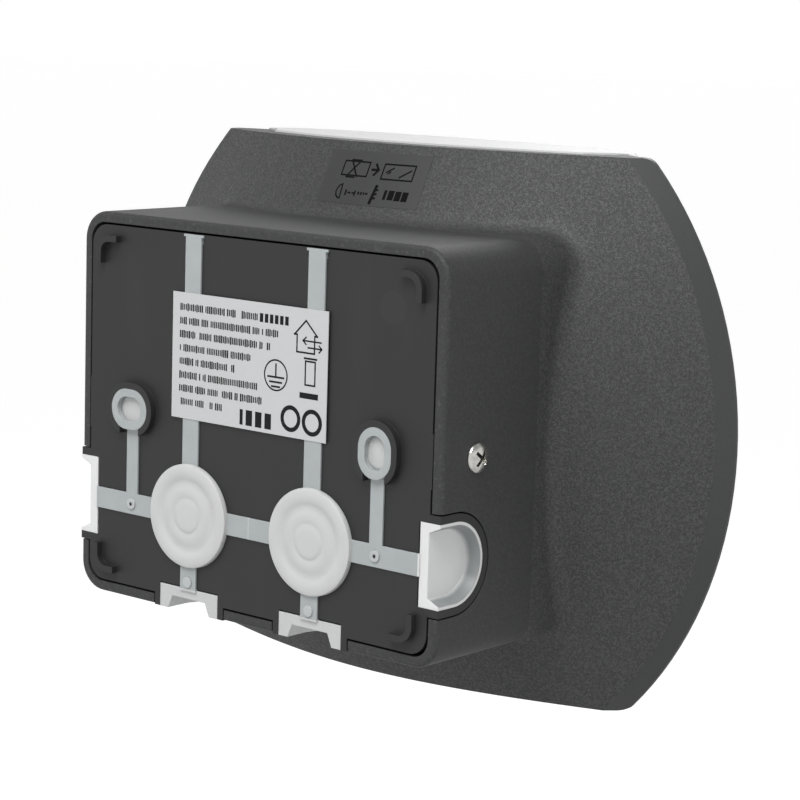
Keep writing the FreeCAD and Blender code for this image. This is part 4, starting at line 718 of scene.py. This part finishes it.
def sideScrewPiece():
    look = sideScrews
    work = bmesh.new()
    tool = bmesh.new()
    for side in (-1, 1):
        place = facing((side, 0, 0), (side * look["seat"], look["deep"], 0))
        turnShape(work, look["profile"], place, look["sides"])
        for turn in look["turns"]:
            spin = place @ Matrix.Rotation(math.radians(turn), 4, "Z")
            corners = [tool.verts.new(spin @ Vector((long * signU, wide * signV, height)))
                       for long, wide, height in look["cross"] for signU in (-1, 1) for signV in (-1, 1)]
            bmesh.ops.convex_hull(tool, input=corners)
    bmesh.ops.recalc_face_normals(tool, faces=tool.faces)
    cutterMesh = bpy.data.meshes.new("screwCross")
    tool.to_mesh(cutterMesh)
    tool.free()
    heads = bpy.data.objects.new("screwHeads", closeWork(work, "screwHeads"))
    cutter = bpy.data.objects.new("screwCutter", cutterMesh)
    for item in (heads, cutter):
        bpy.context.scene.collection.objects.link(item)
    step = heads.modifiers.new("cross", "BOOLEAN")
    step.object = cutter
    step.solver = "EXACT"
    step.use_self = True
    graph = bpy.context.evaluated_depsgraph_get()
    result = bpy.data.meshes.new_from_object(heads.evaluated_get(graph))
    for item in (heads, cutter):
        bpy.data.objects.remove(item)
    work = bmesh.new()
    work.from_mesh(result)
    addPiece("side_screw_pair", closeWork(work, "sideScrewPair", 25.0), finishes["zinc_steel"], "zinc_steel",
             "lamp", ["side_screws"])


sideScrewPiece()
print("seal and screws shaped")


# Geometry Nodes for what repeats or follows a line

class Flow:
    # a tree with named inputs that ends in Realize Instances and Set Material
    def __init__(self, name, inputs):
        self.tree = bpy.data.node_groups.new(name, "GeometryNodeTree")
        sockets = self.tree.interface
        sockets.new_socket("Geometry", in_out="INPUT", socket_type="NodeSocketGeometry")
        for label, kind in inputs.items():
            sockets.new_socket(label, in_out="INPUT", socket_type="NodeSocket" + kind)
        sockets.new_socket("Finish", in_out="INPUT", socket_type="NodeSocketMaterial")
        sockets.new_socket("Geometry", in_out="OUTPUT", socket_type="NodeSocketGeometry")
        self.start = self.tree.nodes.new("NodeGroupInput")
        self.end = self.tree.nodes.new("NodeGroupOutput")

    def given(self, label):
        return self.start.outputs[label]

    def add(self, kind, settings, values, output=0):
        made = self.tree.nodes.new(kind)
        for key, value in settings.items():
            setattr(made, key, value)
        for key, value in values.items():
            if isinstance(value, bpy.types.NodeSocket):
                self.tree.links.new(value, made.inputs[key])
            else:
                made.inputs[key].default_value = value
        return made.outputs[output]

    def close(self, geometry):
        real = self.add("GeometryNodeRealizeInstances", {}, {"Geometry": geometry})
        painted = self.add("GeometryNodeSetMaterial", {},
                           {"Geometry": real, "Material": self.given("Finish")})
        self.tree.links.new(painted, self.end.inputs["Geometry"])
        return self


def barFlow():
    # rows of small bars along the given edges, with gaps left at random
    flow = Flow("barRows", {"Pitch": "Float", "Wide": "Float", "High": "Float", "Thick": "Float",
                            "Gaps": "Float", "Seed": "Int"})
    lines = flow.add("GeometryNodeMeshToCurve", {}, {"Mesh": flow.given("Geometry")})
    points = flow.add("GeometryNodeCurveToPoints", {"mode": "LENGTH"},
                      {"Curve": lines, "Length": flow.given("Pitch")})
    gap = flow.add("FunctionNodeRandomValue", {"data_type": "BOOLEAN"},
                   {6: flow.given("Gaps"), 8: flow.given("Seed")}, 3)
    kept = flow.add("GeometryNodeDeleteGeometry", {"domain": "POINT"}, {"Geometry": points, "Selection": gap})
    size = flow.add("ShaderNodeCombineXYZ", {}, {"X": flow.given("Wide"), "Y": flow.given("Thick"),
                                                "Z": flow.given("High")})
    bar = flow.add("GeometryNodeMeshCube", {}, {"Size": size})
    share = flow.add("FunctionNodeRandomValue", {"data_type": "FLOAT"},
                     {2: 0.72, 3: 1.0, 8: flow.given("Seed")}, 1)
    scale = flow.add("ShaderNodeCombineXYZ", {}, {"X": share, "Y": 1.0, "Z": share})
    return flow.close(flow.add("GeometryNodeInstanceOnPoints", {},
                               {"Points": kept, "Instance": bar, "Scale": scale}))


def beadFlow():
    # a round bead along the given edges
    flow = Flow("beadLines", {"Radius": "Float", "Sides": "Int"})
    lines = flow.add("GeometryNodeMeshToCurve", {}, {"Mesh": flow.given("Geometry")})
    ring = flow.add("GeometryNodeCurvePrimitiveCircle", {},
                    {"Resolution": flow.given("Sides"), "Radius": flow.given("Radius")})
    return flow.close(flow.add("GeometryNodeCurveToMesh", {},
                               {"Curve": lines, "Profile Curve": ring, "Fill Caps": True}))


def studFlow():
    # a short turned stud on each given point
    flow = Flow("studs", {"Foot": "Float", "Top": "Float", "High": "Float", "Sides": "Int", "Turn": "Vector"})
    cone = flow.add("GeometryNodeMeshCone", {}, {
        "Vertices": flow.given("Sides"), "Side Segments": 2, "Radius Top": flow.given("Top"),
        "Radius Bottom": flow.given("Foot"), "Depth": flow.given("High")})
    turned = flow.add("GeometryNodeTransform", {}, {"Geometry": cone, "Rotation": flow.given("Turn")})
    return flow.close(flow.add("GeometryNodeInstanceOnPoints", {},
                               {"Points": flow.given("Geometry"), "Instance": turned}))


barRows = barFlow()
beadLines = beadFlow()
studs = studFlow()


def lineMesh(name, lines):
    # edges through lists of points in millimetres; a line whose last point is its first is closed
    spots = []
    edges = []
    for line in lines:
        closed = len(line) > 1 and line[0] == line[-1]
        line = line[:-1] if closed else line
        first = len(spots)
        spots += [Vector(point) * mm for point in line]
        edges += [(first + step, first + step + 1) for step in range(len(line) - 1)]
        if closed:
            edges.append((first + len(line) - 1, first))
    mesh = bpy.data.meshes.new(name)
    mesh.from_pydata(spots, edges, [])
    return mesh


def grow(flow, name, mesh, values, material, slot, body="lamp"):
    # runs a tree on a mesh and keeps the plain result
    carrier = bpy.data.objects.new(name + "_start", mesh)
    bpy.context.scene.collection.objects.link(carrier)
    step = carrier.modifiers.new("flow", "NODES")
    step.node_group = flow.tree
    for item in flow.tree.interface.items_tree:
        if item.in_out == "INPUT" and item.name in values:
            step[item.identifier] = values[item.name]
        elif item.in_out == "INPUT" and item.name == "Finish":
            step[item.identifier] = material
    graph = bpy.context.evaluated_depsgraph_get()
    result = bpy.data.meshes.new_from_object(carrier.evaluated_get(graph))
    bpy.data.objects.remove(carrier)
    result.name = name
    return addPiece(name, result, material, slot, body)


# Print on the two labels: plain bars, frames, strokes and rings

ratingPrint = {
    "left": 29.2,           # x of the label's left edge, seen from behind
    "top": 34.0,
    "face": -1.3,
    "start": 3.0,
    "rows": ((3.9, 28.0), (7.6, 35.4), (11.2, 32.6), (14.9, 25.7), (18.5, 19.9), (22.2, 28.3), (25.8, 30.0),
             (29.4, 15.6)),     # down from the top, length
    "pitch": 0.66,
    "barWide": 0.5,
    "barHigh": 2.1,
    "gaps": 0.12,
    "seed": 7,
    "inkThick": 0.03,
    "cell": 20,             # a flat label needs no finer mesh
    "frames": ((50.1, 16.6, 3.8, 6.6, 0.45),),
    "bold": ((32.6, 3.9, 1.2, 2.3), (34.4, 3.9, 1.2, 2.3), (36.2, 3.9, 1.2, 2.3), (38.0, 3.9, 1.2, 2.3),
             (39.8, 3.9, 1.2, 2.3), (41.6, 3.9, 1.2, 2.3), (26.0, 30.9, 1.1, 4.1), (28.8, 30.9, 2.3, 4.1),
             (32.2, 30.9, 2.3, 4.1), (35.6, 30.9, 2.3, 4.1), (49.8, 22.5, 6.4, 1.5), (50.1, 12.8, 4.6, 0.5),
             (38.1, 17.0, 0.5, 3.4), (38.1, 18.9, 6.0, 0.5), (38.1, 20.2, 4.6, 0.5), (38.1, 21.4, 3.2, 0.5)),
    "rings": ((38.1, 18.4, 4.2, 0.42), (43.6, 29.1, 3.5, 1.15), (51.1, 29.3, 3.5, 1.15)),
    "strokes": ((0.45, (45.3, 11.4), (45.3, 6.9), (44.4, 6.9), (48.3, 3.1), (52.3, 6.9), (51.4, 6.9),
                 (51.4, 11.4), (45.3, 11.4)),
                (0.4, (47.4, 8.3), (53.6, 8.3)), (0.4, (49.2, 10.0), (53.8, 10.0)),
                (0.4, (48.4, 7.4), (47.4, 8.3), (48.4, 9.2)), (0.4, (53.0, 9.2), (53.9, 10.0), (53.0, 10.9))),
}


def barQuads(u, v, wide, high):
    return [((u - wide / 2, v - high / 2), (u + wide / 2, v - high / 2),
             (u + wide / 2, v + high / 2), (u - wide / 2, v + high / 2))]


def frameQuads(u, v, wide, high, line):
    quads = []
    for sign in (-1, 1):
        quads += barQuads(u, v + sign * (high - line) / 2, wide, line)
        quads += barQuads(u + sign * (wide - line) / 2, v, line, high - line * 2)
    return quads


def strokeQuads(line, *spots):
    # one straight bar for each step along the spots
    quads = []
    for start, end in zip(spots, spots[1:]):
        start, end = Vector(start), Vector(end)
        along = (end - start).normalized() * line / 2
        side = Vector((-along.y, along.x))
        quads.append((start - along - side, end + along - side, end + along + side, start - along + side))
    return quads


def ringQuads(u, v, radius, line, count=40):
    quads = []
    near = radius - line
    for step in range(count):
        corners = []
        for turn, far in ((step, near), (step, radius), (step + 1, radius), (step + 1, near)):
            angle = math.tau * turn / count
            corners.append((u + far * math.cos(angle), v + far * math.sin(angle)))
        quads.append(tuple(corners))
    return quads


def markQuads(look):
    quads = []
    draws = {"frames": frameQuads, "bold": barQuads, "rings": ringQuads, "strokes": strokeQuads}
    for kind, draw in draws.items():
        for shape in look[kind]:
            quads += draw(*shape)
    return quads


def printMesh(name, quads, surface, thick, cell=2.0):
    # thin closed plates of ink laid on a surface(u, v)
    work = bmesh.new()
    for quad in quads:
        a, b, c, d = [Vector(corner) for corner in quad]
        columns = max(1, math.ceil((b - a).length / cell))
        lines = max(1, math.ceil((d - a).length / cell))
        grid = []
        for line in range(lines + 1):
            start = a.lerp(d, line / lines)
            end = b.lerp(c, line / lines)
            grid.append([work.verts.new(surface(*start.lerp(end, column / columns)))
                         for column in range(columns + 1)])
        for line in range(lines):
            for column in range(columns):
                work.faces.new((grid[line][column], grid[line][column + 1],
                                grid[line + 1][column + 1], grid[line + 1][column]))
    bmesh.ops.remove_doubles(work, verts=work.verts, dist=0.001 * mm)
    grown = bmesh.ops.extrude_face_region(work, geom=work.faces[:], use_keep_orig=True)
    under = [item for item in grown["geom"] if isinstance(item, bmesh.types.BMVert)]
    bmesh.ops.translate(work, verts=under, vec=(0, -thick * mm, 0))
    bmesh.ops.recalc_face_normals(work, faces=work.faces)
    mesh = bpy.data.meshes.new(name)
    work.to_mesh(mesh)
    work.free()
    return mesh


def ratingPrintPieces():
    look = ratingPrint
    face = look["face"] + look["inkThick"] / 2
    start = look["left"] - look["start"]
    rows = []
    for down, length in look["rows"]:
        level = look["top"] - down
        rows.append([(start, face, level), (start - length, face, level)])
    grow(barRows, "rating_rows", lineMesh("ratingRows", rows), {
        "Pitch": look["pitch"] * mm, "Wide": look["barWide"] * mm, "High": look["barHigh"] * mm,
        "Thick": look["inkThick"] * mm, "Gaps": look["gaps"], "Seed": look["seed"]}, ink, "white_label")

    def surface(u, v):
        return Vector((look["left"] - u, look["face"] + look["inkThick"], look["top"] - v)) * mm

    marks = printMesh("ratingMarks", markQuads(look), surface, look["inkThick"], look["cell"])
    addPiece("rating_marks", marks, ink, "white_label")


filmPrint = {
    "rootRound": 50.0,      # the pan's rear cone, as in the CAD source
    "rootDeep": 37.1,
    "edgeRound": 102.8,
    "edgeDeep": 63.8,
    "film": 0.08,
    "sheet": (-0.7, 64.5, 35.8, 14.2),      # middle, width and height of the film
    "inkThick": 0.03,
    "frames": ((6.1, 66.85, 9.8, 4.2, 0.42), (-9.1, 66.65, 10.8, 4.4, 0.42)),
    "bold": ((6.8, 60.4, 0.6, 1.5), (5.5, 60.4, 1.1, 0.45), (3.9, 60.4, 1.2, 0.45), (3.4, 60.4, 0.5, 1.5),
             (2.1, 60.5, 0.6, 0.8), (1.1, 60.5, 0.6, 0.8), (0.2, 60.5, 0.5, 0.7), (-0.8, 60.5, 0.9, 0.5),
             (-4.1, 61.7, 0.9, 0.5), (-4.0, 60.6, 0.9, 0.5), (-3.9, 59.5, 0.9, 0.5), (-7.2, 60.6, 0.9, 2.5),
             (-9.2, 60.6, 1.9, 2.5), (-11.5, 60.5, 1.9, 2.5), (-13.8, 60.45, 1.9, 2.5), (6.4, 69.1, 3.6, 0.4),
             (7.2, 64.5, 3.4, 0.4)),
    "rings": (),
    "strokes": ((0.5, (8.3, 69.0), (4.9, 64.8)), (0.5, (4.9, 69.0), (8.6, 64.8)),
                (0.65, (0.0, 66.9), (-1.9, 66.9)), (0.65, (-1.0, 68.3), (-2.3, 66.9), (-1.1, 65.6)),
                (0.42, (-5.2, 66.5), (-7.3, 67.7)), (0.42, (-5.9, 66.2), (-6.5, 66.6)),
                (0.42, (-10.0, 65.4), (-13.2, 67.3)), (1.0, (-3.5, 62.5), (-2.9, 58.4)),
                (0.42, (8.9, 62.5), (9.8, 62.1), (10.4, 61.3), (10.55, 60.4), (10.2, 59.5), (9.4, 58.9),
                 (8.5, 58.8), (8.9, 62.5))),
}


def filmPrintPiece():
    look = filmPrint
    slope = (look["edgeDeep"] - look["rootDeep"]) / (look["edgeRound"] - look["rootRound"])

    def over(height):
        def surface(u, v):
            deep = look["rootDeep"] + (math.hypot(u, v) - look["rootRound"]) * slope
            return Vector((u, height + rear - deep, v)) * mm

        return surface

    sheet = printMesh("filmSheet", barQuads(*look["sheet"]), over(look["film"]), look["film"])
    addPiece("film_sheet", sheet, finishes["clear_film"], "clear_film", "lamp", ["film_label"])
    marks = printMesh("filmMarks", markQuads(look), over(look["film"] + look["inkThick"]), look["inkThick"])
    addPiece("film_marks", marks, darkInk, "clear_film")


ratingPrintPieces()
filmPrintPiece()
print("label print made")


# Small dark gate points in the middle of the seal's two upper gates

gates = {"spots": ((44.4, -26.5), (-44.4, -26.5)), "face": -1.08, "foot": 0.5, "top": 0.3, "high": 0.1}
grow(studs, "gate_points", lineMesh("gateSpots", [[(x, gates["face"], z)] for x, z in gates["spots"]]), {
    "Foot": gates["foot"] * mm, "Top": gates["top"] * mm, "High": gates["high"] * mm, "Sides": 20,
    "Turn": (-math.pi / 2, 0, 0)}, finishes["dark_rubber"], "seal_rubber")


# Raised seams between the lens facets

lensSeams = {
    "middle": -49.0,
    "sphere": 26.43,
    "sphereDeep": 78.87,
    "rings": (5.2, 9.4, 13.0),
    "spokes": (6, 12, 18),
    "edge": 14.5,
    "bead": 0.13,
    "proud": -0.02,
    "ringSteps": 48,
    "spokeSteps": 5,
}


def lensSeamPiece():
    look = lensSeams

    def onLens(far, angle):
        deep = look["sphereDeep"] + math.sqrt(look["sphere"] ** 2 - far ** 2) + look["proud"]
        return (far * math.cos(angle), rear - deep, look["middle"] + far * math.sin(angle))

    lines = []
    for far in look["rings"]:
        ring = [onLens(far, math.tau * step / look["ringSteps"]) for step in range(look["ringSteps"])]
        lines.append(ring + ring[:1])
    bounds = look["rings"] + (look["edge"],)
    for count, near, far in zip(look["spokes"], bounds, bounds[1:]):
        for step in range(count):
            angle = math.tau * (step + 0.5) / count
            last = look["spokeSteps"]
            lines.append([onLens(near + (far - near) * share / last, angle) for share in range(last + 1)])
    grow(beadLines, "lens_seams", lineMesh("lensSeams", lines), {"Radius": look["bead"] * mm, "Sides": 6},
         finishes["lens_plastic"], "lens_plastic")


lensSeamPiece()


# Scale ticks round the knobs and a painted pointer on each

dials = {
    "step": 13.5,
    "deep": 79.6,
    "face": -74.0,
    "near": 5.7,
    "far": 6.5,
    "ticks": 7,
    "half": 135.0,          # degrees each way
    "line": 0.14,
    "capFace": -73.6,
    "pointer": (2.0, 3.9),
    "pointerLine": 0.2,
}


def dialPieces():
    look = dials
    y = rear - look["deep"]
    lines = []
    for sign in (-1, 0, 1):
        x = sign * look["step"]
        for tick in range(look["ticks"]):
            angle = math.radians(-90 - look["half"] + tick * look["half"] * 2 / (look["ticks"] - 1))
            across, ahead = math.cos(angle), math.sin(angle)
            lines.append([(x + across * far, y + ahead * far, look["face"])
                          for far in (look["near"], look["far"])])
    grow(beadLines, "dial_ticks", lineMesh("dialTicks", lines), {"Radius": look["line"] * mm, "Sides": 8},
         whitePaint, "pod_plastic")
    for label, sign in (("time", -1), ("dusk", 0), ("range", 1)):
        x = sign * look["step"]
        start, end = look["pointer"]
        mark = [[(x, y - start, look["capFace"]), (x, y - end, look["capFace"])]]
        grow(beadLines, label + "_pointer", lineMesh(label + "Pointer", mark),
             {"Radius": look["pointerLine"] * mm, "Sides": 8}, whitePaint, "pod_plastic", label + "_setting")


dialPieces()


# Light chips, solder joints and windings

electric = {
    "chipMiddle": 21.0,
    "chipAcross": 17.0,
    "chipUp": 14.5,
    "columns": 8,
    "lines": 5,
    "chipFace": 69.4,
    "phosphor": (1.0, 0.85, 0.12),      # radii at the foot and the top, height
    "boardRear": 44.0,
    "joint": (0.9, 0.315, 0.9),
    "joints": ((-47, 22), (-47, 30), (-44, -8), (-44, 12), (-32, 22), (-24, 22), (-31, -2), (-27.5, -2),
               (-24, -2), (-20.5, -2), (-12, -21), (-6, -21), (12, -12), (16, -12), (20, -12), (24, -12),
               (28, -12), (12, 2), (20, 2), (28, 2), (24, 20), (38, 20), (24, 32), (31, 33), (38, 32),
               (22, -32), (19, -32), (-4, 38), (0, 38), (4, 38), (50, 10), (50, 14)),
    "choke": (-28.0, 22.0, 4.75, 47.9, 55.3),       # x, z, radius, depths of the first and last turn
    "chokeTurns": 13,
    "turnSteps": 28,
    "wire": 0.32,
}


def electricPieces():
    look = electric
    halfWide, halfHigh = (look["columns"] - 1) / 2, (look["lines"] - 1) / 2
    spots = [[((column - halfWide) * look["chipAcross"], rear - look["chipFace"],
               look["chipMiddle"] + (line - halfHigh) * look["chipUp"])]
             for column in range(look["columns"]) for line in range(look["lines"])]
    foot, top, high = look["phosphor"]
    grow(studs, "phosphor_dots", lineMesh("phosphorSpots", spots), {
        "Foot": foot * mm, "Top": top * mm, "High": high * mm, "Sides": 18, "Turn": (math.pi / 2, 0, 0)},
        phosphor, "led_yellow")
    joints = [[(x, rear - look["boardRear"], z)] for x, z in look["joints"]]
    foot, top, high = look["joint"]
    grow(studs, "solder_joints", lineMesh("jointSpots", joints), {
        "Foot": foot * mm, "Top": top * mm, "High": high * mm, "Sides": 14, "Turn": (-math.pi / 2, 0, 0)},
        finishes["solder"], "zinc_steel")
    x, z, far, near, end = look["choke"]
    rings = []
    for turn in range(look["chokeTurns"]):
        deep = near + (end - near) * turn / (look["chokeTurns"] - 1)
        angles = [math.tau * step / look["turnSteps"] for step in range(look["turnSteps"])]
        ring = [(x + far * math.cos(angle), rear - deep, z + far * math.sin(angle)) for angle in angles]
        rings.append(ring + ring[:1])
    grow(beadLines, "choke_winding", lineMesh("chokeTurns", rings), {"Radius": look["wire"] * mm, "Sides": 8},
         finishes["copper"], "brass_metal")


electricPieces()
print("small pieces made")


# Floor and light

studio = {
    "floorLevel": -0.6,
    "paper": (0.52, 0.52, 0.52),
    "paperShade": (0.48, 0.48, 0.48),
    "paperGlow": 0.66,
    "nearGlow": (0.2, 0.2, 0.2),
    "farGlow": (1.0, 1.0, 1.0),
    "floorRound": 30.0,
    "floorSides": 64,
    "sky": (1.0, 0.5),              # strength near the horizon and overhead
    "skyStart": (0.36, 0.42),       # upward part of the direction between them
    "floorDark": (0.2, 2.0),        # radii between which the floor brightens
    "keySpot": (-0.20, 0.75, 1.15),
    "keySize": (0.9, 0.7),
    "keyPower": 22.0,
    "fillSpot": (0.5, -1.4, 0.9),
    "fillPower": 9.0,
}


def setStudio():
    scene = bpy.context.scene
    scene.view_settings.view_transform = "Standard"
    world = bpy.data.worlds.new("studioSky")
    world.use_nodes = True
    sky = world.node_tree.nodes["Background"]
    sky.inputs["Color"].default_value = (1, 1, 1, 1)
    add, link = world.node_tree.nodes.new, world.node_tree.links.new
    place, split, ramp = [add("ShaderNode" + kind) for kind in ("TexCoord", "SeparateXYZ", "MapRange")]
    ramp.interpolation_type = "SMOOTHSTEP"
    sockets = ("From Min", "From Max", "To Min", "To Max")
    for socket, value in zip(sockets, studio["skyStart"] + studio["sky"]):
        ramp.inputs[socket].default_value = value
    link(place.outputs["Generated"], split.inputs["Vector"])
    link(split.outputs["Z"], ramp.inputs["Value"])
    link(ramp.outputs["Result"], sky.inputs["Strength"])
    scene.world = world
    far, sides = studio["floorRound"], studio["floorSides"]
    angles = [math.tau * step / sides for step in range(sides)]
    level = studio["floorLevel"]
    mesh = bpy.data.meshes.new("studioFloor")
    mesh.from_pydata([(far * math.cos(angle), far * math.sin(angle), level) for angle in angles], [],
                     [tuple(range(sides))])
    floor = bpy.data.objects.new("studioFloor", mesh)
    scene.collection.objects.link(floor)
    recipe = Recipe("studioPaper", {"Roughness": 0.9, "Emission Strength": studio["paperGlow"]})
    x, y, _ = recipe.axes()
    near, far = studio["floorDark"]
    away = (x * x + y * y).root().ramp(near, far)
    colour = recipe.blend(recipe.noise(900, 2.0) * 0.2, studio["paper"], studio["paperShade"])
    recipe.finish(colour=colour, glow=recipe.blend(away, studio["nearGlow"], studio["farGlow"]))
    mesh.materials.append(recipe.material)
    for name in ("key", "fill"):
        lamp = bpy.data.objects.new(name + "Light", bpy.data.lights.new(name + "Light", "AREA"))
        lamp.data.shape = "RECTANGLE"
        lamp.data.size, lamp.data.size_y = studio["keySize"]
        lamp.data.energy = studio[name + "Power"]
        lamp.location = studio[name + "Spot"]
        lamp.rotation_euler = (-Vector(studio[name + "Spot"])).to_track_quat("-Z", "Y").to_euler()
        scene.collection.objects.link(lamp)


setStudio()
print("studio set")
